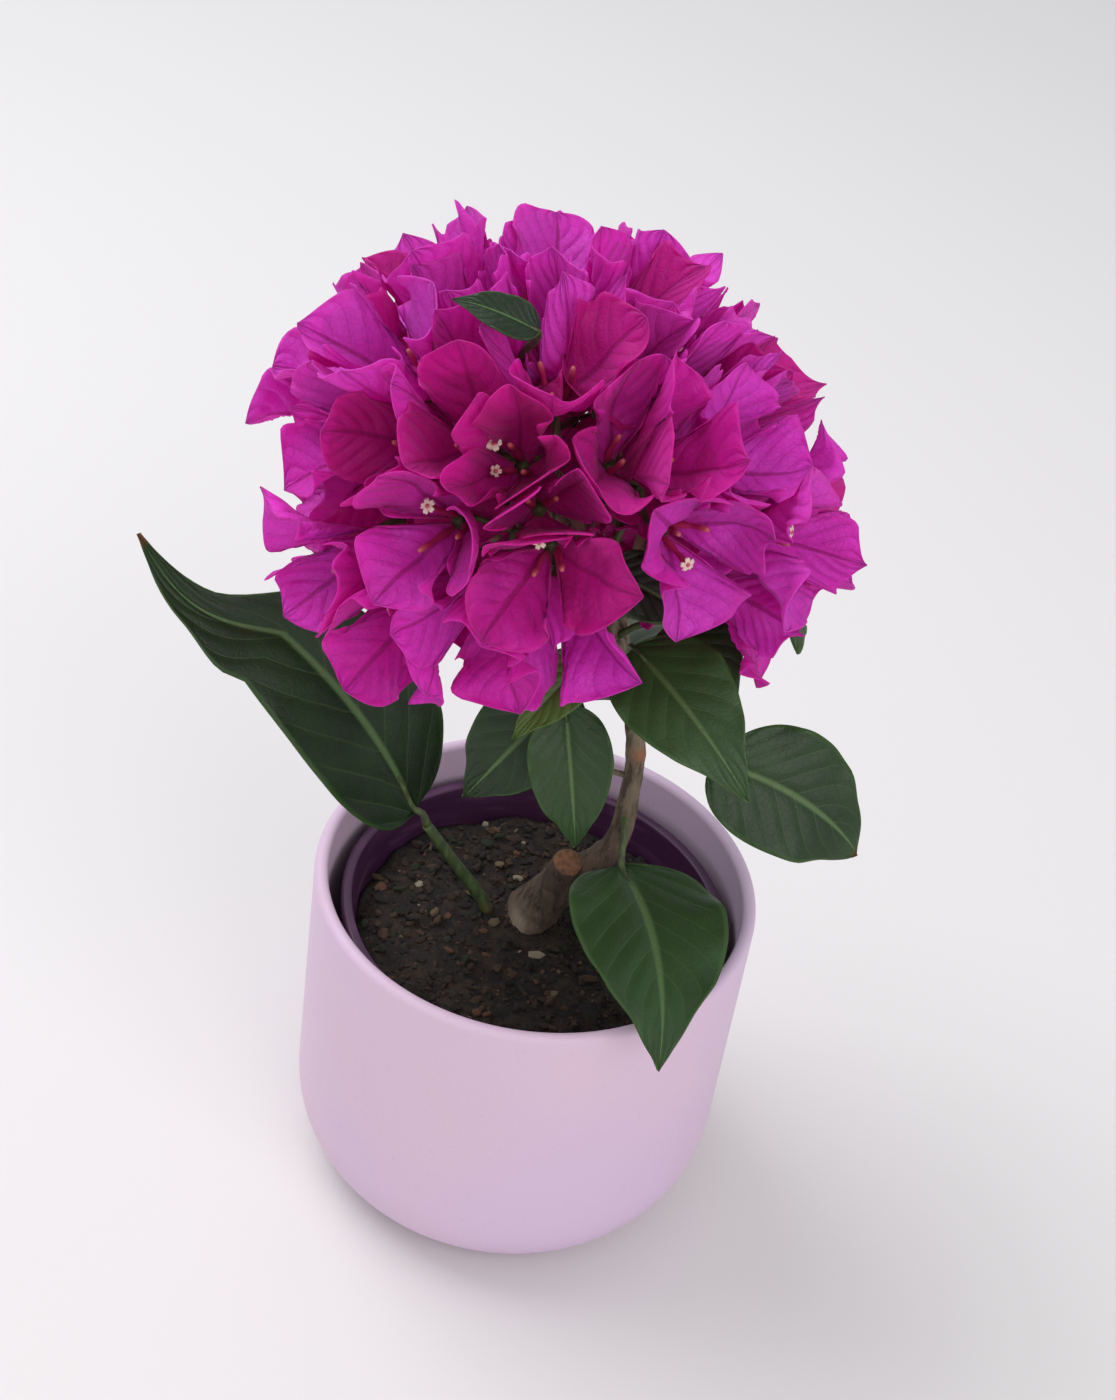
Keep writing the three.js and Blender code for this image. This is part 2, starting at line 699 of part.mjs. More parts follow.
// Masses of blooms: a stem from the bough's tip, a twig to each bloom, and its three bracts. A bract that would
// touch a leaf, a limb or another mass's twigs is left out.
for (const bough of BOUGHS)
  bough.masses.forEach((mass, order) => {
    const foot = bough.line[2].clone().lerp(bough.line[1], 0.35 * order);
    mass.wood = [limb([foot, mass.node], [1.3, 1.1], 4, 1)];
    for (const bloom of mass.blooms) {
      const below = bloom.base.clone().addScaledVector(bloom.axis, -6);
      const above = bloom.base.clone().addScaledVector(bloom.axis, 1.5);
      mass.wood.push(limb([mass.node, below, above], [0.9, 0.9, 2.4], 3, 2));
    }
    for (const leaf of LEAVES) if (leaf.mass === mass.name) mass.wood.push(leaf.solid);
    mass.wood = join(mass.wood);
  });
for (const mass of masses) {
  const others = [limbsClear, ...LEAVES.map((leaf) => leaf.solid)];
  others.push(...masses.filter((other) => other !== mass).map((other) => other.wood));
  const bracts = mass.blooms.flatMap(bractSolids).filter((bract) => !others.some((o) => touches(o, bract)));
  addNode("blooms_" + mass.name, geometryOf(largestBody(join([mass.wood, ...bracts]).subtract(limbsClear))), MAGENTA);
}

export default root;
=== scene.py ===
# %% [markdown]
# # A potted bougainvillea
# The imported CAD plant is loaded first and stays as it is: a matt pink pot, a purple grow pot with its
# root ball, one bent woody stem with its boughs, large green leaves, and nineteen masses of magenta
# blooms. Each of these gets a finer piece here, grown by the same named sizes and the same seeded rule as
# the solid that it stands for. Sizes are worked out in millimetres, as a gardener would take them with a
# ruler, and become metres when a mesh is made.

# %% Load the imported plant
import math

import bmesh
import bpy
import numpy as np
from mathutils import Matrix, Vector, noise
from mathutils.bvhtree import BVHTree


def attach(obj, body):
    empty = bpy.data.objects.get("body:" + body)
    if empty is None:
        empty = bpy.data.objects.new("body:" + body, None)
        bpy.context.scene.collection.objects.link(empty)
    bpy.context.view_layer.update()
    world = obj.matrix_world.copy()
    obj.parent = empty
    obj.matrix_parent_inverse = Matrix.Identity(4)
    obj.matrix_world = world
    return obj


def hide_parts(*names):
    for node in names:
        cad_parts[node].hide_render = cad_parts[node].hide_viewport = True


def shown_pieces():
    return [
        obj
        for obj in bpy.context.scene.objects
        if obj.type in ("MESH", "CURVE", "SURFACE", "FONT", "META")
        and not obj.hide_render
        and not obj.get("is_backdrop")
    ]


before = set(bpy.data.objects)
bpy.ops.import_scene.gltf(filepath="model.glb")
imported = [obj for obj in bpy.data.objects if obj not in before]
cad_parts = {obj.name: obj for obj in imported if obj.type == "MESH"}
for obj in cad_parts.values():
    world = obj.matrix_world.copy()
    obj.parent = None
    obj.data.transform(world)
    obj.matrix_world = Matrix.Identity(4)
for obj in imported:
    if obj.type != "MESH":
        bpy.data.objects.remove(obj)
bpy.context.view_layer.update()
MM = 0.001
UP = np.array([0.0, 0.0, 1.0])
print("solids in the frame:", len(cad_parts))

# %% [markdown]
# ## Camera
# The plant is seen from above its rim, about 38 degrees down, with the camera held a little askew. The
# aim point and the distance were fitted to the outline of the pot. A camera can be turned by Euler angles
# or by a Track To constraint. Here the three axes are written straight into its matrix, because the roll
# is then one plain rotation of the right and up axes.

# %% Camera
AIM = Vector((-2.2, -0.1, 176.0)) * MM
CAMERA_DISTANCE = 642 * MM
CAMERA_ELEVATION = math.radians(38.2)
CAMERA_ROLL = math.radians(9.07)
LENS, SENSOR_WIDTH = 60, 36

back = Vector((0, -math.cos(CAMERA_ELEVATION), math.sin(CAMERA_ELEVATION)))
level_right = Vector((1, 0, 0))
level_up = back.cross(level_right)
right = level_right * math.cos(CAMERA_ROLL) + level_up * math.sin(CAMERA_ROLL)
up = level_up * math.cos(CAMERA_ROLL) - level_right * math.sin(CAMERA_ROLL)

camera = bpy.data.objects.new("camera", bpy.data.cameras.new("camera"))
bpy.context.scene.collection.objects.link(camera)
camera.data.lens = LENS
camera.data.sensor_width = SENSOR_WIDTH
turned = Matrix((right, up, back)).transposed().to_4x4()
turned.translation = AIM + back * CAMERA_DISTANCE
camera.matrix_world = turned
bpy.context.scene.camera = camera
print("camera at", [round(c, 3) for c in turned.translation])

# %% [markdown]
# ## Colours and shader sums
# Colours are read off real plants in the usual 0 to 255 scale, while Blender's sockets want linear light,
# so a small function converts them. A shader pattern is a chain of Math nodes, which is hard to read as a
# list of nodes. The class `Pattern` wraps one output socket and overloads plus, minus and times, so that
# a vein or a grain is written as the sum that it is. The class `Finish` holds one material, and each of
# its methods adds the nodes of one kind of pattern.

# %% Colours
def linear(part):
    """A colour part from 0 to 255 as linear light from 0 to 1."""
    return part / 255 / 12.92 if part < 11 else ((part / 255 + 0.055) / 1.055) ** 2.4


def rgb(red, green, blue):
    return linear(red), linear(green), linear(blue), 1.0


print("a middle grey is", round(rgb(119, 119, 119)[0], 3), "in linear light")


# %% Shader sums
class Pattern:
    """A node's output that joins in sums with numbers and with other patterns."""

    def __init__(self, finish, socket):
        self.finish, self.socket = finish, socket

    def maths(self, operation, *values):
        return self.finish.node("ShaderNodeMath", {"operation": operation}, values)

    def __add__(self, other):
        return self.maths("ADD", self, other)

    def __mul__(self, other):
        return self.maths("MULTIPLY", self, other)

    def __sub__(self, other):
        return self.maths("SUBTRACT", self, other)

    def __rsub__(self, other):
        return self.maths("SUBTRACT", other, self)

    __radd__, __rmul__ = __add__, __mul__

    def __abs__(self):
        return self.maths("ABSOLUTE", self)

    def fraction(self):
        return self.maths("FRACT", self)

    def ramp(self, low, high):
        """0 below low and 1 above high, with a smooth rise between. It falls where low is the higher."""
        values = {0: self, 1: min(low, high), 2: max(low, high)}
        if low > high:
            values.update({3: 1, 4: 0})
        return self.finish.node("ShaderNodeMapRange", {"interpolation_type": "SMOOTHSTEP"}, values)


print("patterns join in sums, differences and products")


# %% A finish made of nodes
BLADE_MAP, TINT_NAME = "blade", "tint"


class Finish:
    """One material, made of nodes."""

    def __init__(self, name):
        self.material = bpy.data.materials.new(name)
        self.material.use_nodes = True
        self.tree = self.material.node_tree
        self.tree.nodes.clear()
        self.place = self.node("ShaderNodeTexCoord", output="Object")

    def node(self, kind, settings=None, values=(), output=0):
        made = self.tree.nodes.new(kind)
        for key, value in (settings or {}).items():
            setattr(made, key, value)
        for key, value in values.items() if isinstance(values, dict) else enumerate(values):
            if isinstance(value, Pattern):
                self.tree.links.new(value.socket, made.inputs[key])
            else:
                made.inputs[key].default_value = value
        return Pattern(self, made.outputs[output]) if made.outputs else None

    def noise(self, scale, detail=2, stretch=None, rough=0.5):
        """Cloudy noise over the piece, scale lumps to a metre."""
        place = self.place
        if stretch:
            place = self.node("ShaderNodeMapping", {}, {"Vector": place, "Scale": stretch})
        values = {"Vector": place, "Scale": scale, "Detail": detail, "Roughness": rough}
        return self.node("ShaderNodeTexNoise", {}, values)

    def net(self, scale, width):
        """A net of fine lines, scale meshes to a metre: 0 on a line and 1 away from it."""
        values = {"Vector": self.place, "Scale": scale}
        to_line = self.node("ShaderNodeTexVoronoi", {"feature": "DISTANCE_TO_EDGE"}, values, "Distance")
        return to_line.ramp(0.0, width)

    def blend(self, first, second, share):
        return self.node("ShaderNodeMix", {"data_type": "RGBA"}, {0: share, 6: first, 7: second}, output=2)

    def tint(self):
        """The colour that a piece's vertices carry as the attribute tint."""
        return self.node("ShaderNodeAttribute", {"attribute_name": TINT_NAME}, output="Color")

    def tint_parts(self):
        """The three numbers in a piece's tint."""
        colour = self.tint()
        return [self.node("ShaderNodeSeparateColor", {}, (colour,), output=i) for i in range(3)]

    def blade(self):
        """Across a blade from -1 to 1, and along it from foot to tip."""
        both = self.node("ShaderNodeUVMap", {"uv_map": BLADE_MAP})
        across, along = [self.node("ShaderNodeSeparateXYZ", {}, (both,), output=i) for i in range(2)]
        return across * 2 - 1, along

    def surface(self, colour, roughness, height=None, depth=0.1, through=None, share=0.3, sockets=None):
        """height is a bump pattern, depth its depth in mm. through is the colour of light shining through."""
        values = {"Base Color": colour, "Roughness": roughness, **(sockets or {})}
        if height is not None:
            relief = {"Height": height, "Distance": depth * MM, "Strength": 1.0}
            values["Normal"] = self.node("ShaderNodeBump", {}, relief)
        shader = self.node("ShaderNodeBsdfPrincipled", {}, values)
        if through is not None:
            glow = self.node("ShaderNodeBsdfTranslucent", {}, {"Color": through})
            shader = self.node("ShaderNodeMixShader", {}, (share, shader, glow))
        self.node("ShaderNodeOutputMaterial", {}, {"Surface": shader})
        return self


print("a finish reads a piece's", BLADE_MAP, "map and its", TINT_NAME)

# %% [markdown]
# ## Studio
# Soft daylight shows papery bracts best: a wide lamp above, a paler one from the front, and a bright even
# world. A plain pale floor takes the plant's soft shadow. The floor is staged, so it is not part of the
# plant.

# %% Studio
FLOOR_HALF_SIZE = 4
LAMP_AIM = Vector((0, 0, 0.2))
floor_finish = Finish("floor")
floor_finish.surface(rgb(226, 222, 219), 0.8)
bm = bmesh.new()
bmesh.ops.create_grid(bm, x_segments=1, y_segments=1, size=FLOOR_HALF_SIZE)
floor_mesh = bpy.data.meshes.new("floor")
bm.to_mesh(floor_mesh)
bm.free()
floor_mesh.materials.append(floor_finish.material)
floor = bpy.data.objects.new("floor", floor_mesh)
bpy.context.scene.collection.objects.link(floor)
floor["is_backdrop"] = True


def soft_lamp(name, place, size, watts, colour):
    """A square lamp that looks at the plant. Sizes and places are in metres here."""
    lamp = bpy.data.objects.new(name, bpy.data.lights.new(name, "AREA"))
    bpy.context.scene.collection.objects.link(lamp)
    lamp.data.size, lamp.data.energy, lamp.data.color = size, watts, colour
    lamp.location = place
    lamp.rotation_euler = (LAMP_AIM - Vector(place)).to_track_quat("-Z", "Y").to_euler()


soft_lamp("key_lamp", (-0.75, 0.35, 1.35), 1.1, 15, (0.95, 0.97, 1.0))
soft_lamp("front_lamp", (0.7, -1.1, 1.0), 1.2, 9, (1.0, 0.96, 0.94))
world = bpy.data.worlds.new("studio")
world.use_nodes = True
world.node_tree.nodes["Background"].inputs["Color"].default_value = rgb(232, 236, 244)
world.node_tree.nodes["Background"].inputs["Strength"].default_value = 0.72
bpy.context.scene.world = world
bpy.context.scene.view_settings.view_transform = "Standard"
print("studio is lit")

# %% [markdown]
# ## Finishes
# Each finish says what the surface is on the real plant. The pot is fired clay under a matt glaze, so its
# colour drifts softly and its skin is slightly grainy. Peat is nearly black with brown crumbs. Bark has
# long furrows, so its noise is drawn out upwards. A leaf or a bract is thin tissue: light passes through
# it, veins branch from its midrib, and its tissue bulges a little between them, which is written with the
# blade's own across and along coordinates.

# %% Finishes of pot, plastic and soil
glaze = Finish("matt_pink_glaze")
drift = glaze.noise(9, 2)
speck = glaze.noise(900, 2)
blush = glaze.blend(rgb(221, 192, 210), rgb(214, 189, 216), drift.ramp(0.3, 0.7))
blush = glaze.blend(blush, rgb(196, 162, 190), speck.ramp(0.62, 0.8) * 0.35)
grain = glaze.noise(420, 3) + speck * 0.4
glaze.surface(blush, 0.5 + speck * 0.12, grain, 0.03, sockets={"Coat Weight": 0.08, "Coat Roughness": 0.4})

plastic = Finish("purple_plastic")
scuffs = plastic.noise(60, 4, (1, 1, 6))
sheet = plastic.blend(rgb(68, 34, 67), rgb(95, 55, 92), scuffs.ramp(0.45, 0.75))
plastic.surface(sheet, 0.34 + scuffs * 0.2, plastic.noise(300, 2), 0.03)

peat = Finish("peat")
clods = peat.noise(240, 6, rough=0.7)
damp = peat.blend(rgb(22, 18, 15), rgb(53, 42, 32), clods.ramp(0.4, 0.68))
damp = peat.blend(damp, rgb(82, 58, 38), peat.noise(900, 2).ramp(0.66, 0.76))
peat.surface(damp, 0.95, clods + peat.noise(1400, 3) * 0.4, 1.2)

crumb = Finish("soil_crumbs")
crumb.surface(crumb.tint(), 0.9, crumb.noise(1600, 3), 0.3)
print("pot and soil finishes:", [made.material.name for made in (glaze, plastic, peat, crumb)])

# %% Finishes of bark, stalks and cut wood
bark = Finish("bark")
age, wear, knot = bark.tint_parts()
furrow = bark.noise(420, 5, (1, 1, 0.22), 0.6)
cork = bark.noise(1500, 3)
skin = bark.blend(rgb(166, 152, 126), rgb(95, 79, 64), age)
skin = bark.blend(skin, rgb(52, 38, 28), furrow.ramp(0.56, 0.36) * 0.8)
skin = bark.blend(skin, rgb(150, 134, 112), cork.ramp(0.6, 0.72) * 0.45)
skin = bark.blend(skin, rgb(164, 150, 128), wear)
skin = bark.blend(skin, rgb(146, 94, 58), knot)
bark.surface(skin, 0.86, furrow + cork * 0.25, 0.35)

cut_wood = Finish("cut_wood")
ring = cut_wood.noise(700, 3)
heart = cut_wood.blend(rgb(144, 100, 70), rgb(104, 72, 50), ring.ramp(0.3, 0.7))
cut_wood.surface(heart, 0.8, ring, 0.2)

stalk = Finish("green_stalk")
woody = stalk.tint_parts()[1]
rind = stalk.noise(500, 3, (1, 1, 0.3))
rind = stalk.blend(rgb(50, 66, 34), rgb(80, 102, 52), rind.ramp(0.35, 0.75))
stalk.surface(stalk.blend(rind, rgb(96, 74, 50), woody), 0.55, stalk.noise(1400, 2), 0.08)
print("wood finishes:", [made.material.name for made in (bark, cut_wood, stalk)])

# %% Finishes of leaves
VEIN_PAIRS, LEAF_VEIN_SWEEP, BRACT_VEIN_SWEEP = 7.5, 2.4, 2.2


def veins(finish, sweep, width):
    """How near a point of a blade is to its midrib and its side veins, and how far it bulges between them."""
    across, along = finish.blade()
    wobble = finish.noise(70, 2) * 0.16
    out = abs(across)
    midrib = out.ramp(width * 1.6, width * 0.3)
    from_side = abs((along * VEIN_PAIRS - out * sweep + wobble).fraction() - 0.5)
    side = from_side.ramp(width * 1.5, 0.0) * out.ramp(1.0, 0.75)
    bulge = from_side.ramp(0.0, 0.4) * out.ramp(0.02, 0.22)
    return along, out, midrib, side, bulge


def leaf_finish(name, dark, fair, rib, margin, roughness):
    leaf = Finish(name)
    light, warm, brown = leaf.tint_parts()
    along, out, midrib, side, bulge = veins(leaf, LEAF_VEIN_SWEEP, 0.05)
    cloud = leaf.noise(55, 3)
    # painted light and shade: light makes the whole blade a lighter or darker green for the light that falls
    # on it
    tissue = leaf.blend(dark, fair, cloud.ramp(0.25, 0.75) * 0.3 + light * 0.7)
    # warm is a yellower, lighter green, partly the leaf's own colour and partly painted light
    tissue = leaf.blend(tissue, rgb(98, 124, 48), warm * 0.6)
    tissue = leaf.blend(tissue, margin, out.ramp(0.9, 1.0) * 0.55 + along.ramp(0.9, 1.0) * 0.25)
    tissue = leaf.blend(tissue, rib, side * 0.16)
    tissue = leaf.blend(tissue, rib, midrib * 0.85)
    tissue = leaf.blend(tissue, rgb(104, 66, 36), along.ramp(0.965, 0.985) * brown)
    relief = leaf.net(420, 0.12) * 0.3 - side * 0.5 - midrib * 0.8 + bulge * 0.8 + leaf.noise(1500, 2) * 0.15
    return leaf.surface(tissue, roughness, relief, 0.14, rgb(112, 170, 40), 0.16, {"Specular IOR Level": 0.4})


leaf_face = leaf_finish("leaf_face", dark=rgb(17, 30, 15), fair=rgb(58, 88, 46), rib=rgb(96, 124, 74),
                        margin=rgb(70, 106, 42), roughness=0.42)
leaf_back = leaf_finish("leaf_back", dark=rgb(70, 98, 54), fair=rgb(98, 128, 78), rib=rgb(134, 156, 104),
                        margin=rgb(88, 126, 56), roughness=0.6)
print("leaf finishes:", [made.material.name for made in (leaf_face, leaf_back)])

# %% Finishes of blooms
bract = Finish("magenta_bract")
light, violet_sheen, deep = bract.tint_parts()
along, out, midrib, side, bulge = veins(bract, BRACT_VEIN_SWEEP, 0.042)
cloud = bract.noise(120, 3)
# lit is partly a random tone and partly painted light: blooms that face the sky or the sides are painted
# lighter
lit = (light * 0.75 + cloud * 0.5 - 0.1).ramp(0.1, 0.9)
paper = bract.blend(rgb(224, 24, 178), rgb(246, 74, 238), lit)
# painted sheen: a violet sheen of the sky is painted on blooms that face up or to the side
paper = bract.blend(paper, rgb(236, 106, 244), violet_sheen * along.ramp(0.1, 0.7) * 0.85)
# deep is painted shade on blooms in the middle of the front, and the own deep colour of old bracts
paper = bract.blend(paper, rgb(190, 14, 114), deep * 0.8)
paper = bract.blend(paper, rgb(216, 22, 138), out.ramp(0.7, 1.0) * 0.24)
net = bract.net(520, 0.1)
veined = midrib * 0.6 + side * 0.28 * out.ramp(0.02, 0.2) + (1 - net) * 0.12
paper = bract.blend(paper, rgb(140, 8, 92), veined)
paper = bract.blend(paper, rgb(150, 90, 70), along.ramp(0.12, 0.0) * 0.6)
relief = net * 0.15 - side * 0.2 - midrib * 0.6 + bulge * 0.8 + cloud * 0.4
downy = {"Sheen Weight": 0.25, "Sheen Roughness": 0.5, "Sheen Tint": rgb(236, 160, 240)}
bract.surface(paper, 0.54, relief, 0.5, rgb(248, 44, 206), 0.45, {**downy, "Specular IOR Level": 0.35})

tube_skin = Finish("flower_tube")
light, tip, _ = tube_skin.tint_parts()
tube_colour = tube_skin.blend(rgb(142, 14, 70), rgb(196, 40, 104), light)
tube_skin.surface(tube_skin.blend(tube_colour, rgb(190, 92, 96), tip), 0.6, tube_skin.noise(1500, 2), 0.1)

star_skin = Finish("flower_star")
throat = star_skin.tint_parts()[1]
star_colour = star_skin.blend(rgb(250, 238, 214), rgb(238, 176, 190), throat)
star_skin.surface(star_colour, 0.6, star_skin.noise(1500, 2), 0.1, rgb(250, 220, 190), 0.2)
print("bloom finishes:", [made.material.name for made in (bract, tube_skin, star_skin)])

# %% [markdown]
# ## Blanks
# A bract, a leaf and a stem are all a flat or round blank that is bent into place, as a dressmaker cuts a
# pattern before the cloth is shaped. A flat blank is a grid with a UV map, which runs across and along. A
# round one is a circle that is extruded ring by ring. Both are made once, by bmesh operators, and each
# new piece starts from a copy of them, whose points are then moved to their places. A thin sheet becomes
# a closed solid by an extruded copy of itself, set back along the normals of its points. The Solidify
# operator does nearly the same, but it keeps the wall's thickness even, and so it throws long spikes where
# a bract is folded sharply.

# %% Blanks
class Blank:
    """A mesh from operators that is copied into a piece, and its points before they are bent."""

    def __init__(self, bm, rings=0):
        self.rings = rings
        self.mesh = bpy.data.meshes.new("blank")
        bm.to_mesh(self.mesh)
        bm.free()
        self.flat = np.array([vertex.co for vertex in self.mesh.vertices], float)
        self.faces = [list(face.vertices) for face in self.mesh.polygons]


def sheet_blank(across, along):
    """Across from -1 to 1 in x and along from 0 to 1 in y, with closer rows near both ends."""
    bm = bmesh.new()
    blade = bm.loops.layers.uv.new(BLADE_MAP)
    bmesh.ops.create_grid(bm, x_segments=across, y_segments=along, size=1)
    for vertex in bm.verts:
        share = (vertex.co.y + 1) / 2
        vertex.co.y = 0.5 * share + 0.25 * (1 - math.cos(math.pi * share))
    for face in bm.faces:
        for corner in face.loops:
            corner[blade].uv = ((corner.vert.co.x + 1) / 2, corner.vert.co.y)
    return Blank(bm)


def new_ring(grown):
    """The points and the edges of the ring that an extrude has just made."""
    points = [item for item in grown if isinstance(item, bmesh.types.BMVert)]
    edges = [item for item in grown if isinstance(item, bmesh.types.BMEdge)]
    return points, [edge for edge in edges if all(vertex in points for vertex in edge.verts)]


def round_blank(sides, rings):
    """A unit circle in x and y, extruded from 0 to 1 in z, and closed at both ends."""
    bm = bmesh.new()
    bm.loops.layers.uv.new(BLADE_MAP)
    ring = bmesh.ops.create_circle(bm, cap_ends=True, segments=sides, radius=1)["verts"]
    edges = list({edge for vertex in ring for edge in vertex.link_edges})
    for _ in range(rings):
        grown = bmesh.ops.extrude_edge_only(bm, edges=edges)["geom"]
        risen, edges = new_ring(grown)
        bmesh.ops.translate(bm, verts=risen, vec=(0, 0, 1 / rings))
    bmesh.ops.contextual_create(bm, geom=edges)
    bmesh.ops.recalc_face_normals(bm, faces=bm.faces)
    return Blank(bm, rings)


BRACT_BLANK = sheet_blank(20, 30)
LEAF_BLANK = sheet_blank(26, 44)
print("a bract's blank has", len(BRACT_BLANK.faces), "faces and a leaf's", len(LEAF_BLANK.faces))


# %% A piece while it grows
class Growth:
    """A piece of the plant while it grows: copies of blanks in one bmesh, each with its tint."""

    def __init__(self):
        self.bm = bmesh.new()
        self.bm.loops.layers.uv.new(BLADE_MAP)
        self.tint = self.bm.verts.layers.float_color.new(TINT_NAME)

    def add(self, blank, places, tint=(0, 0, 0), part=0):
        """places are the blank's points in millimetres. tint is one colour, or one for each point."""
        before, faces_before = len(self.bm.verts), len(self.bm.faces)
        self.bm.from_mesh(blank.mesh)
        self.bm.verts.ensure_lookup_table()
        self.bm.faces.ensure_lookup_table()
        tints = np.broadcast_to(np.asarray(tint, float), (len(places), 3))
        for vertex, place, colour in zip(self.bm.verts[before:], places, tints):
            vertex.co = place * MM
            vertex[self.tint] = (*colour, 1)
        for face in self.bm.faces[faces_before:]:
            face.material_index = part

    def thicken(self, thickness, back_part=None):
        """Turns the open sheets that are there into closed thin solids, with a copy of each set behind it."""
        self.bm.normal_update()
        facing = {tuple(vertex.co): vertex.normal.copy() for vertex in self.bm.verts}
        behind = bmesh.ops.extrude_face_region(self.bm, geom=self.bm.faces[:], use_keep_orig=True)["geom"]
        for item in behind:
            if isinstance(item, bmesh.types.BMVert):
                item.co -= facing[tuple(item.co)] * (thickness * MM)
            elif isinstance(item, bmesh.types.BMFace) and back_part is not None:
                item.material_index = back_part

    def piece(self, name, finishes, stands_for=(), slot=None, sharp=None):
        """Ends the growth: a smooth object, with edges over sharp degrees kept sharp, known to the frame."""
        mesh = bpy.data.meshes.new(name)
        bmesh.ops.recalc_face_normals(self.bm, faces=self.bm.faces)
        self.bm.to_mesh(mesh)
        self.bm.free()
        for finish in finishes:
            mesh.materials.append(finish.material)
        mesh.shade_smooth()
        if sharp:
            mesh.set_sharp_from_angle(angle=math.radians(sharp))
        made = bpy.data.objects.new(name, mesh)
        bpy.context.scene.collection.objects.link(made)
        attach(made, "root")
        if stands_for:
            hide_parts(*stands_for)
        return made


def triangles(piece):
    return sum(len(face.vertices) - 2 for face in piece.data.polygons)


print("a growing piece carries", BLADE_MAP, "and", TINT_NAME)

# %% [markdown]
# ## Pot
# The ceramic pot is a body of revolution: a flat foot, one quarter round into a straight wall, and a
# rounded rim. A lathe does this in a workshop, and `spin` does it here, from a profile with the same
# radii as the solid's and many more points.

# %% Pot
POT_HEIGHT, POT_RADIUS, POT_WALL = 110, 65, 4
POT_FOOT_RADIUS, POT_CURVE_HEIGHT, POT_FLOOR = 40, 30, 6
MERGE_DISTANCE = 1e-4
SHARP_ANGLE = 50


def arc(radius, height, out, rise, start, end, steps):
    """Points along an arc about a centre, from one angle to another in degrees."""
    turns = np.radians(np.linspace(start, end, steps + 1))
    return [(radius + out * math.cos(a), height + rise * math.sin(a)) for a in turns]


def turn_on_wheel(profile, steps):
    """A closed turned body from (radius, height) pairs that begin and end on the axis."""
    grown = Growth()
    verts = [grown.bm.verts.new((radius * MM, 0, height * MM)) for radius, height in profile]
    edges = [grown.bm.edges.new(pair) for pair in zip(verts, verts[1:])]
    bmesh.ops.spin(grown.bm, geom=verts + edges, cent=(0, 0, 0), axis=(0, 0, 1), angle=2 * math.pi,
                   steps=steps, use_merge=True)
    bmesh.ops.remove_doubles(grown.bm, verts=grown.bm.verts, dist=MERGE_DISTANCE * MM)
    return grown


rim = POT_WALL / 2
belly = POT_RADIUS - POT_FOOT_RADIUS
pot_profile = [
    (0, 0),
    (POT_FOOT_RADIUS - 4, 0),
    *arc(POT_FOOT_RADIUS, POT_CURVE_HEIGHT, belly, POT_CURVE_HEIGHT, -90, 0, 24),
    (POT_RADIUS, 50),
    (POT_RADIUS, 80),
    *arc(POT_RADIUS - rim, POT_HEIGHT - rim, rim, rim, 0, 180, 12),
    (POT_RADIUS - POT_WALL, 80),
    *arc(POT_FOOT_RADIUS - POT_WALL, POT_CURVE_HEIGHT, belly, POT_CURVE_HEIGHT - POT_FLOOR, 0, -90, 12),
    (0, POT_FLOOR),
]
pot = turn_on_wheel(pot_profile, 144).piece("pink_pot", [glaze], ["pot"], "pot", SHARP_ANGLE)
print("pot:", triangles(pot), "triangles")

# %% [markdown]
# ## Grow pot
# The nursery's thin purple cup stands inside, and its lip shows above the soil. It is turned as the pot
# is, with a rolled lip, and a slight wave of its lip is moved into the points afterwards, because such
# thin plastic is never quite round.

# %% Grow pot
GROW_POT_RIM_HEIGHT, GROW_POT_RADIUS, GROW_POT_BASE_RADIUS = 99, 57, 37
GROW_POT_WALL, GROW_POT_LIP, CLEARANCE = 1.2, 2, 0.3
STIFF_HEIGHT = 60
foot = POT_FLOOR + CLEARANCE
under_lip = GROW_POT_RIM_HEIGHT - 2 * GROW_POT_LIP
cup_profile = [
    (0, foot),
    (GROW_POT_BASE_RADIUS - 1, foot),
    (GROW_POT_BASE_RADIUS, foot + 1),
    (GROW_POT_RADIUS - GROW_POT_LIP, under_lip),
    (GROW_POT_RADIUS - 0.5, under_lip),
    (GROW_POT_RADIUS, under_lip + 0.5),
    *arc(GROW_POT_RADIUS - 1, GROW_POT_RIM_HEIGHT - 1, 1, 1, 0, 90, 4),
    *arc(GROW_POT_RADIUS - 2.4, GROW_POT_RIM_HEIGHT - 0.8, 0.8, 0.8, 90, 180, 4),
    (GROW_POT_RADIUS - GROW_POT_LIP - GROW_POT_WALL, under_lip),
    (GROW_POT_BASE_RADIUS - GROW_POT_WALL, foot + GROW_POT_WALL),
    (0, foot + GROW_POT_WALL),
]
cup = turn_on_wheel(cup_profile, 120)
for vertex in cup.bm.verts:
    clock = math.atan2(vertex.co.y, vertex.co.x)
    lift = max(0.0, vertex.co.z / MM - STIFF_HEIGHT) / (GROW_POT_RIM_HEIGHT - STIFF_HEIGHT)
    give = 1 + lift * (0.006 * math.sin(3 * clock + 0.7) + 0.003 * math.sin(7 * clock))
    vertex.co.xy *= give
cup = cup.piece("purple_cup", [plastic], ["grow_pot"], "grow_pot", SHARP_ANGLE)
print("grow pot:", triangles(cup), "triangles")

# %% [markdown]
# ## Root ball and crumbs
# Peat in a small pot is a cone of dark soil with a lumpy top that sinks towards the wall. Its body is
# turned with many rings, and its top is lifted by two sizes of noise. Loose crumbs, bits of bark and pale
# grit lie on it: small icospheres of twenty faces, squashed and turned at random, each in one of the
# soil's colours.

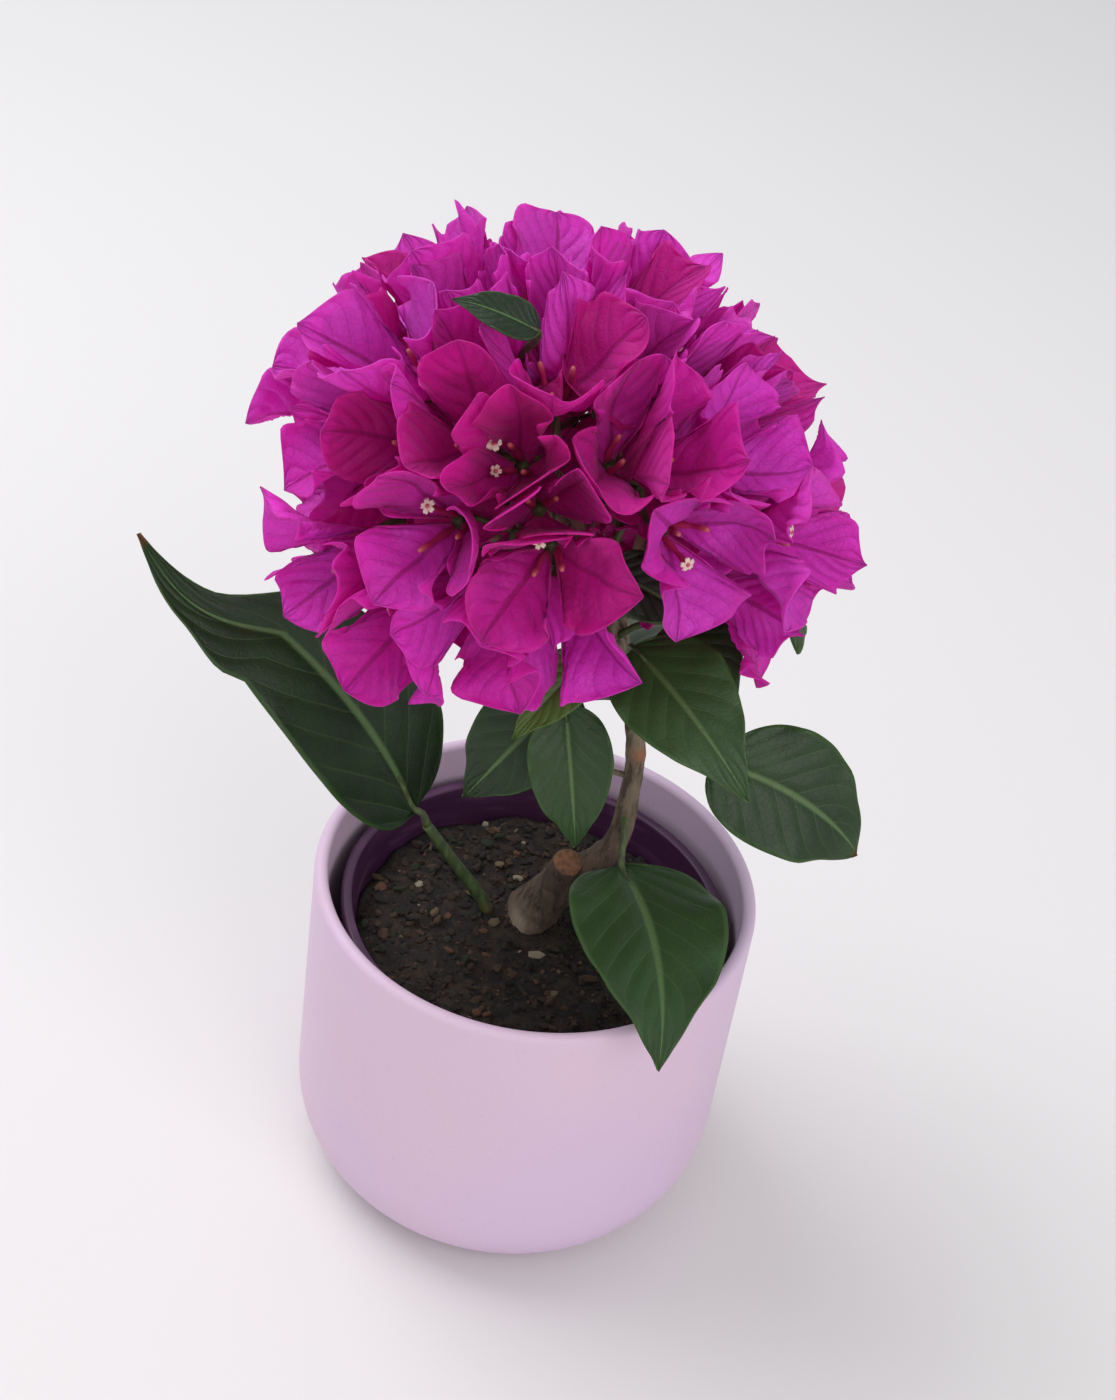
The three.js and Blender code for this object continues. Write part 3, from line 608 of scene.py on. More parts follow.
# %% Root ball
SOIL_HEIGHT, SOIL_RINGS, SOIL_STEPS = 90, 46, 150
wall_share = (SOIL_HEIGHT - POT_FLOOR) / (GROW_POT_RIM_HEIGHT - POT_FLOOR)
soil_foot = POT_FLOOR + GROW_POT_WALL + 2 * CLEARANCE
inner_foot = GROW_POT_BASE_RADIUS - GROW_POT_WALL
inner_top = GROW_POT_RADIUS - GROW_POT_LIP - GROW_POT_WALL
soil_edge = inner_foot + (inner_top - inner_foot) * wall_share - 2 * CLEARANCE


def soil_top(x, y):
    """The height of the soil's top at a place, in millimetres. It banks up a little against the stem."""
    radius = math.hypot(x, y)
    sunk = 3.2 * max(0.0, (radius - soil_edge + 14) / 14) ** 2
    bank = 1.6 * math.exp(-((math.hypot(x - 1, y - 4) / 13) ** 2))
    lumps = 1.9 * noise.noise(Vector((x, y, 3)) * 0.12) + 1.2 * noise.noise(Vector((x, y, 9)) * 0.33)
    return SOIL_HEIGHT - 0.6 - sunk + bank + lumps * (1 - 0.5 * min(1.0, bank))


soil_profile = [(0, soil_foot), (inner_foot - 1, soil_foot), (soil_edge - 0.4, SOIL_HEIGHT - 6)]
soil_profile += [(soil_edge * share, SOIL_HEIGHT) for share in np.linspace(1, 0, SOIL_RINGS)]
soil = turn_on_wheel(soil_profile, SOIL_STEPS)
for vertex in soil.bm.verts:
    if vertex.co.z / MM > SOIL_HEIGHT - 1:
        vertex.co.z = soil_top(vertex.co.x / MM, vertex.co.y / MM) * MM
soil = soil.piece("peat_ball", [peat], ["soil"], "soil")
print("root ball:", triangles(soil), "triangles")


# %% [markdown]
# ## Seeded chance
# Crumbs, blooms and leaves differ by chance, and yet the plant has to come out the same each time. Python's
# own random numbers can be seeded too, but the solids were grown by another language, so both use the same
# short rule, which multiplies and adds within 32 bits.

# %% Seeded numbers
class Seeded:
    """Repeatable numbers from 0 to 1, the same as the solids were grown with."""

    def __init__(self, seed):
        self.state = ((seed + 1) * 2654435761 + 12345) % 2**32

    def __call__(self):
        self.state = (self.state * 1664525 + 1013904223) % 2**32
        return self.state / 2**32

    def between(self, low, high):
        return low + (high - low) * self()


print("first seeded number:", round(Seeded(0)(), 4))

# %% Crumbs and grit
CRUMBS, CRUMB_SEED = 1500, 700
# each colour of a crumb and its share of them all
CRUMB_COLOURS = [(rgb(26, 20, 16), 0.36), (rgb(44, 32, 24), 0.32), (rgb(64, 46, 32), 0.18),
                 (rgb(84, 56, 38), 0.04), (rgb(34, 38, 24), 0.06), (rgb(98, 84, 64), 0.028),
                 (rgb(136, 126, 106), 0.012)]
up_to = np.cumsum([share for _, share in CRUMB_COLOURS]) + 1e-9
chance = Seeded(CRUMB_SEED)
bm = bmesh.new()
bmesh.ops.create_icosphere(bm, subdivisions=1, radius=1)
crumb_blank = Blank(bm)
crumbs = Growth()
for _ in range(CRUMBS):
    radius, clock = (soil_edge - 2) * math.sqrt(chance()), 2 * math.pi * chance()
    x, y = radius * math.cos(clock), radius * math.sin(clock)
    size = 0.45 + 1.3 * chance() ** 3
    shape = np.array([chance.between(0.7, 1.9), chance.between(0.6, 1.1), chance.between(0.45, 0.9)]) * size
    lumps = np.array([1 + 0.3 * (chance() - 0.5) for _ in crumb_blank.flat])[:, None]
    spun = Matrix.Rotation(2 * math.pi * chance(), 3, "Z")
    turn = np.array(spun @ Matrix.Rotation(chance.between(-0.6, 0.6), 3, "X"))
    places = (crumb_blank.flat * lumps * shape) @ turn.T + (x, y, soil_top(x, y) + 0.25 * size)
    colour = CRUMB_COLOURS[np.searchsorted(up_to, chance(), side="right")][0]
    crumbs.add(crumb_blank, places, colour[:3])
crumbs = crumbs.piece("soil_crumbs", [crumb], (), "soil", 30)
print("crumbs:", CRUMBS, "with", triangles(crumbs), "triangles")

# %% [markdown]
# ## Stems
# Every stem follows a smooth curve through a few named points, and tapers along it. The curve is the
# centripetal Catmull-Rom curve that the solids use, so a fine stem lies exactly in its coarse solid. A
# frame is carried along it without twist, and the rings of a round blank are set into that frame.

# %% Stems
FIRST_SIDE_ACROSS = (0.31, 0.95, 0.05)


def unit(vector):
    return vector / np.linalg.norm(vector)


def smooth_line(points, count):
    """Even points along the centripetal Catmull-Rom curve through points."""
    points = [np.array(p, float) for p in points]
    led = [2 * points[0] - points[1], *points, 2 * points[-1] - points[-2]]
    dense = []
    for a, b, c, d in zip(led, led[1:], led[2:], led[3:]):
        before, here, after = (math.sqrt(math.dist(p, q)) for p, q in ((a, b), (b, c), (c, d)))
        leave = ((b - a) / before - (c - a) / (before + here) + (c - b) / here) * here
        arrive = ((c - b) / here - (d - b) / (here + after) + (d - c) / after) * here
        for t in np.linspace(0, 1, 40, endpoint=False):
            cubic = (2 * b - 2 * c + leave + arrive) * t**3
            dense.append(b + leave * t + (3 * c - 3 * b - 2 * leave - arrive) * t**2 + cubic)
    dense = np.array([*dense, points[-1]])
    run = np.concatenate([[0], np.cumsum(np.linalg.norm(np.diff(dense, axis=0), axis=1))])
    even = np.linspace(0, run[-1], count)
    return np.stack([np.interp(even, run, dense[:, i]) for i in range(3)], axis=1)


def stem_places(blank, points, widths, relief=None, level=False):
    """A round blank bent along a curve. widths are radii at even steps. relief changes a radius."""
    line = smooth_line(points, blank.rings + 1)
    ahead = np.gradient(line, axis=0)
    ahead /= np.linalg.norm(ahead, axis=1)[:, None]
    side = unit(np.cross(ahead[0], FIRST_SIDE_ACROSS))
    sides = []
    for way in ahead:
        side = unit(side - way * side.dot(way))
        sides.append(side)
    places = np.empty_like(blank.flat)
    for i, (x, y, z) in enumerate(blank.flat):
        step = int(round(z * blank.rings))
        radius = np.interp(z, np.linspace(0, 1, len(widths)), widths)
        if relief:
            radius *= relief(z, math.atan2(y, x), line[step])
        over = np.cross(ahead[step], sides[step])
        places[i] = line[step] + (sides[step] * x + over * y) * radius
        if level and step == 0:
            places[i, 2] = line[0, 2]
    return places


SOIL_TOP = SOIL_HEIGHT + CLEARANCE
TRUNK_LINE = [(0, 4, SOIL_TOP), (3, 4, 98), (11, 1, 113), (20, -1, 127), (22, 0, 145), (21, 0, 165),
              (14, 0, 190), (4, 0, 215), (-6, 0, 240)]
TRUNK_WIDTHS = [8, 5.3, 3.6, 2.9, 2.6, 2.4, 2.2, 2.0, 1.6]
STUB_LINE, STUB_WIDTHS = [(5, 3, 104), (8, -3, 120)], [4.8, 4.2]
SPUR_LINE, SPUR_WIDTHS = [(21, 0, 153), (12, -3, 157)], [0.9, 0.7]
SHOOT_LINE = [(-13, 3, SOIL_TOP), (-17, 3, 97), (-26, 2, 110), (-34, 1, 122)]
SHOOT_WIDTHS = [2.1, 1.8, 1.5]
print("the trunk is", round(sum(math.dist(a, b) for a, b in zip(TRUNK_LINE, TRUNK_LINE[1:]))), "mm long")

# %% [markdown]
# ## Trunk
# The old wood leans to the right, was pruned to a stub, and the leader bends up past it. Bark on such a
# stem is furrowed lengthwise, flares in ribs at the soil, and swells at each joint. That relief is moved
# into the points of the trunk itself, because it shows at its outline, and only the finest cork is left
# to the shader. The shoot at the left is young, so its rind is smooth and green, and woody only at its
# foot.

# %% Relief and tint of bark
WORN_PLACE, KNOT_PLACE, JOINT_STEP = (-5, -3, 92), (23, -2, 163), 19


def bark_relief(z, clock, place):
    """The share by which bark changes a stem's radius. z is along the stem, clock round it."""
    ribs = 0.10 * math.exp((SOIL_HEIGHT - place[2]) / 8) * math.cos(3 * clock + 0.6)
    furrows = noise.noise(Vector((math.cos(clock) * 2.4, math.sin(clock) * 2.4, place[2] * 0.09)))
    knots = noise.noise(Vector((math.cos(clock) * 1.1, math.sin(clock) * 1.1, place[2] * 0.35 + 7)))
    joints = 0.10 * math.exp(-((((place[2] % JOINT_STEP) - JOINT_STEP / 2) / 1.6) ** 2))
    return 1 + ribs + 0.11 * furrows + 0.07 * knots + joints


def bark_tint(places):
    """Age, wear and knot of each point. Young wood is paler, and the foot has a worn patch."""
    age = np.clip((235 - places[:, 2]) / 110, 0, 1)
    wear = np.exp(-((np.linalg.norm(places - WORN_PLACE, axis=1) / 4.5) ** 2))
    knot = np.exp(-((np.linalg.norm(places - KNOT_PLACE, axis=1) / 2.2) ** 2))
    return np.stack([age, wear, knot], axis=1)


print("bark at the trunk's foot has the tint", bark_tint(np.array([TRUNK_LINE[0]], float)).round(2)[0])

# %% Trunk
trunk = Growth()
trunk_blank = round_blank(26, 130)
places = stem_places(trunk_blank, TRUNK_LINE, TRUNK_WIDTHS, bark_relief, level=True)
trunk.add(trunk_blank, places, bark_tint(places))
STUB_SIDES = 22
stub_blank = round_blank(STUB_SIDES, 12)
places = stem_places(stub_blank, STUB_LINE, STUB_WIDTHS, bark_relief)
trunk.add(stub_blank, places, bark_tint(places))
for face in trunk.bm.faces:
    if len(face.verts) == STUB_SIDES and face.calc_center_median().z > 112 * MM:
        face.material_index = 1
spur_blank = round_blank(8, 6)
places = stem_places(spur_blank, SPUR_LINE, SPUR_WIDTHS)
trunk.add(spur_blank, places, bark_tint(places))
caps = [face for face in trunk.bm.faces if len(face.verts) > 4]
bmesh.ops.inset_region(trunk.bm, faces=caps, thickness=0.7 * MM, depth=0.3 * MM)
trunk = trunk.piece("trunk_bark", [bark, cut_wood], ["trunk"], "bark", 60)
print("trunk:", triangles(trunk), "triangles")

# %% Green shoot
shoot_blank = round_blank(14, 30)
shoot = Growth()
places = stem_places(shoot_blank, SHOOT_LINE, SHOOT_WIDTHS, level=True)
woody = np.clip((96 - places[:, 2]) / 8, 0, 0.7)
shoot.add(shoot_blank, places, np.stack([woody * 0, woody, woody * 0], axis=1))
shoot = shoot.piece("green_shoot", [stalk], ["shoot_left"], "green_stem")
print("shoot:", triangles(shoot), "triangles")

# %% [markdown]
# ## The plan of the crown
# The crown is a flattened ball. Each bough leaves the trunk at its own height and carries one or more
# masses, and each mass holds a ring of blooms about its own direction. The rows below are the same as the
# solids', and the same seeded numbers set each bloom's base, axis, size and spin, so bloom by bloom the
# fine plant stands in the coarse one.

# %% The plan of the crown
CROWN_CENTRE = np.array([-14.0, 0, 252])
CROWN_REACH = np.array([74.0, 68, 57])
BLOOM_BASE_SHARE, MASS_NODE_SHARE, BOUGH_TIP_SHARE = 0.63, 0.48, 0.34
LAYER_SHARE, CELL_POINT_RISE, SKYWARD, NEAR_BLOOM = 0.24, 12, 0.22, 75
# bough, height on the trunk, and its masses: name, azimuth, elevation, spread, turn, reach, blooms, own seed
BOUGHS = [
    ("top", 236, [
        ("top_back", 155, 70, 14, 40, 1.09, 3),
        ("top_left", -57, 66, 15.5, 97, 0.9, 3),
    ]),
    ("upper_right", 230, [
        ("top_right", 80, 56, 17, 42, 0.87, 3),
        ("back_right", 143, 24, 15, 19, 0.94, 3),
    ]),
    ("upper_front", 225, [
        ("front_upper", 0, 38, 20, 90, 1.0, 4),
        ("front_middle", -8, 33, 0, 0, 1.0, 1, 61),
        ("front_right", 46, 24, 15, 45, 1.0, 3),
    ]),
    ("upper_back", 221, [
        ("back_upper", -161, 30, 14.5, 87, 0.85, 3),
        ("back_left", -116, 26, 16.5, 12, 0.9, 3),
    ]),
    ("left", 216, [
        ("left", -61, 25, 15, 34, 0.85, 3),
        ("front", -9, -2, 16.5, 60, 0.93, 3),
    ]),
    ("right", 211, [
        ("right", 101, 14, 17, 95, 0.71, 3),
        ("right_low", 72, -9, 14.5, 36, 1.07, 3),
    ]),
    ("back", 206, [
        ("back_low", 172, -11, 15.5, 73, 1.0, 3),
        ("back_left_low", -147, -31, 15.5, 15, 0.96, 3),
    ]),
    ("left_low", 201, [
        ("left_low", -100, -18, 16, 55, 1.04, 3),
        ("front_left_low", -54, -36, 15, 12, 1.26, 3),
    ]),
    ("front", 197, [
        ("front_low", -7, -32, 15, 90, 0.96, 2),
    ]),
    ("back_right", 193, [
        ("back_right_low", 134, -34, 16, 3, 1.0, 3),
    ]),
]
print("boughs:", ", ".join(bough for bough, height, rows in BOUGHS))


# %% Directions in the crown
def direction(azimuth, elevation):
    """A direction by its angle about the trunk, from the front, and its angle above the level."""
    a, e = math.radians(azimuth), math.radians(elevation)
    return np.array([math.sin(a) * math.cos(e), -math.cos(a) * math.cos(e), math.sin(e)])


def on_crown(way, share):
    """The place in a direction at a share of the crown's reach."""
    return way * CROWN_REACH * share + CROWN_CENTRE


def turned_away(axis, angle, clock):
    """A direction turned away from an axis by an angle, towards a clock angle about that axis."""
    side = unit(np.cross(axis, UP))
    over = np.cross(side, axis)
    away = side * math.sin(math.radians(clock)) + over * math.cos(math.radians(clock))
    return axis * math.cos(math.radians(angle)) + away * math.sin(math.radians(angle))


print("the crown's front is at", on_crown(direction(0, 0), 1))


# %% Blooms of each mass
class Bloom:
    """Where a bloom stands, which way it looks, how large it is and how far it is spun."""

    def __init__(self, way, reach, chance):
        self.way, self.chance = way, chance
        self.base = on_crown(way, BLOOM_BASE_SHARE * reach + LAYER_SHARE * (chance() - 0.5))
        axis = unit(way / CROWN_REACH)
        axis[2] += SKYWARD * (1 - way[2])
        self.axis = unit(axis + np.array([chance() - 0.5, chance() - 0.5, chance() - 0.5]) * 0.45)
        self.size, self.spin = 0.94 + 0.16 * chance(), 360 * chance()
        self.cell_point = self.base + self.axis * CELL_POINT_RISE


masses, blooms, next_seed = {}, [], 0
for bough, height, rows in BOUGHS:
    for name, azimuth, elevation, spread, turn, reach, count, *own_seed in rows:
        way = direction(azimuth, elevation)
        masses[name] = {"way": way, "node": on_crown(way, MASS_NODE_SHARE), "blooms": []}
        for k in range(count):
            seed = own_seed[0] if own_seed else next_seed
            next_seed += not own_seed
            bloom = Bloom(turned_away(way, spread, turn + 360 / count * k), reach, Seeded(seed))
            masses[name]["blooms"].append(bloom)
            blooms.append(bloom)
print(len(masses), "masses with", len(blooms), "blooms")

# %% [markdown]
# ## Boughs and twigs
# Each bough starts inside the trunk's wood and ends where its masses begin. From there a stem runs to
# each mass, and it divides into one twig for each bloom. Twigs of this plant are straight, thin and
# green-brown, so a round blank of few sides is enough.

# %% Bounds of limbs
def growing_bound(places, blank):
    """A bent blank as a tree of its faces, which tells quickly whether another one crosses it."""
    return BVHTree.FromPolygons([Vector(place) for place in places], blank.faces)


def crosses_any(bound, others):
    return any(other.overlap(bound) for other in others)


trunk_bound = growing_bound(stem_places(trunk_blank, TRUNK_LINE, TRUNK_WIDTHS), trunk_blank)
limbs = []
print("the trunk's bound has", len(trunk_blank.faces), "faces")

# %% Boughs and twigs
BOUGH_WIDTHS, MASS_STEM_WIDTHS, TWIG_WIDTHS = [2.2, 1.8, 1.5], [1.3, 1.1], [1.0, 0.8, 0.8, 1.0, 1.9]
trunk_run = smooth_line(TRUNK_LINE, 400)
bough_blank, twig_blank = round_blank(14, 24), round_blank(7, 8)


def bough_relief(z, clock, place):
    lumps = noise.noise(Vector((math.cos(clock) * 2, math.sin(clock) * 2, z * 9)))
    return 1 + 0.12 * lumps + 0.12 * (z < 0.06)


twigs = Growth()
for bough, height, rows in BOUGHS:
    start = trunk_run[np.searchsorted(trunk_run[:, 2], height)]
    middle_way = unit(sum(masses[row[0]]["way"] for row in rows))
    end = on_crown(middle_way, BOUGH_TIP_SHARE)
    bend = (start + end) / 2 + (middle_way[0] * 4, middle_way[1] * 4, -3)
    grown = Growth()
    places = stem_places(bough_blank, [start, bend, end], BOUGH_WIDTHS, bough_relief)
    grown.add(bough_blank, places, bark_tint(places) * (0.6, 0, 0))
    limbs.append(growing_bound(places, bough_blank))
    grown.piece("bough_bark_" + bough, [bark], ["bough_" + bough], "bark", 60)
    for order, row in enumerate(rows):
        mass = masses[row[0]]
        foot = end + (bend - end) * 0.35 * order
        places = stem_places(twig_blank, [foot, mass["node"]], MASS_STEM_WIDTHS)
        twigs.add(twig_blank, places, (0, 0.6, 0))
        for bloom in mass["blooms"]:
            line = [mass["node"], bloom.base - bloom.axis * 6, bloom.base + bloom.axis * 1.5]
            places = stem_places(twig_blank, line, TWIG_WIDTHS)
            twigs.add(twig_blank, places, (0, 0.35, 0))
twigs = twigs.piece("bloom_twigs", [stalk], (), "green_stem")
print("twigs:", triangles(twigs), "triangles")

# %% [markdown]
# ## Leaves
# A leaf is a blade on a short stalk. It is widest below its middle and runs out to a point, arches down
# its length, folds a little along its midrib, and waves at its margins. Its tissue is quilted: it dips
# along each side vein. All of that is a height over a flat blank, so one function gives it for every
# leaf, and a second sheet behind it closes it.

# %% The leaves of this plant
class Leaf:
    """One leaf in millimetres: its stalk's joint, its blade's ends and width, and how the blade is bent.

    face is the way that it looks, arch its rise in the middle, fold the slope of its halves, bow its
    sideways curve, drip how far its tip is drawn narrow, and hook the tip's turn to the side. Its tint is
    light, warm and brown. light is painted light and shade: the whole blade is painted a lighter or darker
    green for the light that falls on it. warm is a yellower and lighter green, partly the leaf's own colour
    and partly painted light.
    """

    def __init__(self, name, joint, foot, tip, width, face, arch, fold, bow=0, taper=0.95, drip=0, hook=0,
                 brown=0, light=0, warm=0):
        self.name, self.on_crown = name, joint is None
        self.foot, self.tip, self.width, self.face = np.array(foot, float), np.array(tip, float), width, face
        self.arch, self.fold, self.bow, self.taper, self.drip, self.hook = arch, fold, bow, taper, drip, hook
        self.tint = light, warm, brown
        self.joint = np.array(masses[name]["node"] if self.on_crown else joint, float)


# the first two grow out of masses of blooms, and the others stand for a node of their own
# light in each row is painted light and shade: how much lighter a leaf's green is painted for the light on it
LEAVES = [
    Leaf("top_left", None, (-20, -29, 305), (-41, -27, 309), 10, (-0.1, -0.55, 0.83),
         arch=2, fold=0.2),
    Leaf("front_right", None, (5, -27, 241), (29, -30, 232), 17, (0, -0.8, 0.6),
         arch=2, fold=0.15, light=0.1),
    Leaf("leaf_far_left", (-34, 1, 122), (-38, 1, 127), (-117, -6, 213), 42, (0.45, -0.75, 0.5),
         arch=9, fold=0.25, bow=7.5, taper=0.9, drip=0.44, hook=8.5, brown=1),
    Leaf("leaf_low_right", (21.5, -0.5, 141), (23, -12, 130), (40, -73, 116), 43, (0.05, -0.35, 0.94),
         arch=5, fold=0.08, bow=-4, light=0.8),
    Leaf("leaf_far_right", (20, 0, 170), (44, 6, 158), (91, 8, 131), 37, (0.15, -0.78, 0.6),
         arch=4, fold=0.05, bow=-4, taper=0.7, brown=1, light=0.4),
    Leaf("leaf_front_right", (14, 0, 190), (15, -22, 214), (49, -56, 198), 30, (0.1, -0.7, 0.7),
         arch=7, fold=0.12, light=1),
    Leaf("leaf_front_left", (12, 0, 195), (1, -9, 188), (-24, -16, 149), 28, (-0.1, -0.85, 0.5),
         arch=5, fold=0.12, light=0.25),
    Leaf("leaf_front_low", (17, 0, 180), (0, -17, 188), (9, -27, 147), 23, (0.1, -0.9, 0.4),
         arch=4, fold=0.15, light=0.7),
    Leaf("leaf_front_small", (7, 0, 207), (4, -30, 215), (-12, -47, 198), 15, (-0.2, -0.75, 0.62),
         arch=3, fold=0.2, light=1, warm=1),
    Leaf("leaf_right_small", (10, 0, 200), (24, -8, 214), (44, -24, 203), 24, (0.2, -0.6, 0.75),
         arch=3, fold=0.15, light=0.4),
    Leaf("leaf_back_left", (17, 0, 181), (-6, 18, 190), (-52, 40, 165), 36, (-0.35, 0.4, 0.85),
         arch=7, fold=0.12, light=0.5),
    Leaf("leaf_back", (19, 0, 173), (16, 24, 178), (8, 72, 150), 38, (0, 0.45, 0.89),
         arch=7, fold=0.1, light=0.6),
    Leaf("leaf_back_right", (8, 0, 205), (30, 20, 206), (66, 44, 176), 34, (0.4, 0.3, 0.86),
         arch=6, fold=0.12, light=0.4),
]
print(len(LEAVES), "leaves, the widest", max(leaf.width for leaf in LEAVES), "mm")

# %% The shape of a leaf
OVATE_RISE, TIP_LEAST = 0.45, 0.25
DRIP_START, DRIP_RUN, DRIP_LEAST = 0.66, 0.16, 0.16
LEAF_WAVES = ((2.3, 0.035), (5.2, 0.012))


def ovate(u, taper, foot):
    """The half width of a blade along its length, as a share of its widest."""
    widest = OVATE_RISE / (OVATE_RISE + taper)
    most = widest**OVATE_RISE * (1 - widest) ** taper
    return np.maximum(foot * (1 - u), u**OVATE_RISE * (1 - u) ** taper / most)


def leaf_places(leaf, chance):
    """The places of a leaf's blade: how wide it is, how high it rises to its face, and how far it sways."""
    v, u = LEAF_BLANK.flat[:, 0], LEAF_BLANK.flat[:, 1]
    length = np.linalg.norm(leaf.tip - leaf.foot)
    ahead = (leaf.tip - leaf.foot) / length
    side = unit(np.cross(ahead, leaf.face))
    face = unit(np.cross(side, ahead))
    near_tip = np.clip((u - DRIP_START) / DRIP_RUN, 0, 1)
    drawn_out = 1 - max(leaf.drip, DRIP_LEAST) * near_tip**2 * (3 - 2 * near_tip)
    half = np.maximum(leaf.width / 2 * ovate(u, leaf.taper, 0.06) * drawn_out, TIP_LEAST)
    out = np.abs(v)
    arched = 4 * leaf.arch * u * (1 - u) + half * leaf.fold * out
    groove = 0.03 * leaf.width * np.exp(-((out / 0.09) ** 2)) * (1 - u)
    quilt = np.cos(2 * math.pi * (VEIN_PAIRS * u - LEAF_VEIN_SWEEP * out + 0.5))
    quilt *= 0.005 * leaf.width * np.sin(math.pi * out) * np.sin(math.pi * u) ** 0.5
    rise = arched - groove - quilt
    for waves, share in LEAF_WAVES:
        wave = np.sin(2 * math.pi * waves * u + 2 * math.pi * chance() + 1.3 * np.sign(v))
        rise += share * leaf.width * out**3 * wave * np.sqrt(1 - u * 0.7)
    droop = 0.10 * length * np.clip((u - 0.72) / 0.28, 0, 1) ** 2
    rise -= droop * chance.between(0.1, 0.7)
    sway = 4 * leaf.bow * u * (1 - u) - leaf.hook * np.sin(math.pi * np.clip((u - 0.62) / 0.38, 0, 1))
    return leaf.foot + np.outer(u * length, ahead) + np.outer(half * v + sway, side) + np.outer(rise, face)


print("a blade is widest at", round(OVATE_RISE / (OVATE_RISE + 0.95), 2), "of its length")

# %% Grow the leaves
LEAF_THICKNESS, LEAF_SEED = 0.5, 800
STALK_WIDTHS, STALK_END_SHARE = [1.35, 1.0, 1.0, 1.1, 0.35], 0.12
stalk_blank = round_blank(9, 14)
stalk_end = np.argmin(np.abs(LEAF_BLANK.flat[:, 1] - STALK_END_SHARE) + np.abs(LEAF_BLANK.flat[:, 0]))
for number, leaf in enumerate(LEAVES):
    grown = Growth()
    places = leaf_places(leaf, Seeded(LEAF_SEED + number))
    limbs.append(growing_bound(places, LEAF_BLANK))
    grown.add(LEAF_BLANK, places, leaf.tint)
    grown.thicken(LEAF_THICKNESS, back_part=1)
    line = [leaf.joint, (leaf.joint + leaf.foot) / 2 + (0, 0, 2), leaf.foot, places[stalk_end]]
    grown.add(stalk_blank, stem_places(stalk_blank, line, STALK_WIDTHS), (0, 0.1, 0), part=2)
    label = ("crown_leaf_" if leaf.on_crown else "green_") + leaf.name
    grown.piece(label, [leaf_face, leaf_back, stalk], [] if leaf.on_crown else [leaf.name], "leaves")
print("limbs and leaves that a bract stays clear of:", len(limbs))

# %% [markdown]
# ## Blooms
# What looks like a petal on this plant is a bract, a coloured leaf as thin as paper. Three stand round
# each bloom's axis: steep at the foot, then opening out, cupped, and wavy at the margin. Neighbours press
# against each other, and then a bract turns up along the border between them instead of passing through.
# The solids cut each bloom's cell with flat planes. Here the same planes push more and more softly before
# they are reached, so a bract bends as paper does.

# %% Cells of the bracts
CELL_MARGIN, THIRD_MARGIN, TURN_UP = 0.55, 0.4, 0.75
GIVE_SHARE, GIVE_MOST, SWEEPS, NEAR_ENOUGH = 0.12, 2.6, 60, 0.02


def cell_borders(bloom, others):
    """Planes halfway to each near bloom, as a normal and an offset."""
    borders = []
    for other in others:
        if other is bloom or math.dist(other.cell_point, bloom.cell_point) >= NEAR_BLOOM:
            continue
        normal = unit(other.cell_point - bloom.cell_point)
        borders.append((normal, normal.dot(other.cell_point + bloom.cell_point) / 2 - CELL_MARGIN))
    return borders


def third_borders(bloom, clock):
    """Planes beside a bract, which part it from the two others of its bloom."""
    normals = [turned_away(bloom.axis, 90, clock + turn) for turn in (150, -150)]
    return [(normal, normal.dot(bloom.base) - THIRD_MARGIN) for normal in normals]


def pressed_inside(points, borders, outward, base):
    """Points kept behind their borders. They give way before they touch, most of all far from the foot."""
    kept = points.copy()
    give = np.minimum(GIVE_SHARE * np.linalg.norm(points - base, axis=1), GIVE_MOST) + 1e-3
    for sweep in range(SWEEPS):
        soft = give * 0.5**sweep + 1e-3
        most = 0
        for normal, offset in borders:
            over = kept @ normal - offset
            moved = soft * np.logaddexp(0, over / soft)
            most = max(most, over.max())
            if sweep == 0:
                kept += np.outer(moved * TURN_UP, outward)
            kept -= np.outer(moved, normal)
        if sweep > 3 and most < NEAR_ENOUGH:
            break
    return kept


print("the first bloom's cell has", len(cell_borders(blooms[0], blooms)), "borders")

# %% Shape of an open bract
BRACT_LENGTH, BRACT_WIDTH, BRACT_TAPER, BRACT_THICKNESS = 31, 31, 0.5, 0.32
BRACT_FOOT_RADIUS, BRACT_POINT_START, BRACT_TIP_LEAST = 1.2, 0.79, 0.2
BRACT_FOOT_ANGLE = math.radians(34)
CRINKLE, QUILT, SWELL = 0.22, 0.05, 0.08
along_steps = (np.arange(12) + 0.5) / 12


def open_bract(bloom, clock, length, half_width, at_foot, at_tip, cup, wave, phase, detail):
    """The places of a bract that opens with nothing beside it. Angles are from the bloom's axis."""
    v, u = BRACT_BLANK.flat[:, 0], BRACT_BLANK.flat[:, 1]
    radial = turned_away(bloom.axis, 90, clock)
    side = np.cross(bloom.axis, radial)
    curl = math.radians(detail.between(-12, 34))
    run = np.outer(u, along_steps)
    angles = at_foot + (at_tip - at_foot) * run**0.8 + curl * run**5
    out = BRACT_FOOT_RADIUS + np.sin(angles).mean(axis=1) * u * length
    along = np.cos(angles).mean(axis=1) * u * length
    last = angles[:, -1]
    inward = np.outer(np.sin(last), bloom.axis) - np.outer(np.cos(last), radial)
    point = np.clip(1 - (u - BRACT_POINT_START) / (1 - BRACT_POINT_START), 0, 1) ** 0.45
    half = np.maximum(half_width * ovate(u, BRACT_TAPER, 0.12) * point, BRACT_TIP_LEAST)
    lift = bract_lift(v, u, cup, wave, phase, detail)
    points = bloom.base + np.outer(out, radial) + np.outer(along, bloom.axis)
    points += (half * v * (1 - 0.12 * v * v))[:, None] * side + (half * lift)[:, None] * inward
    return points


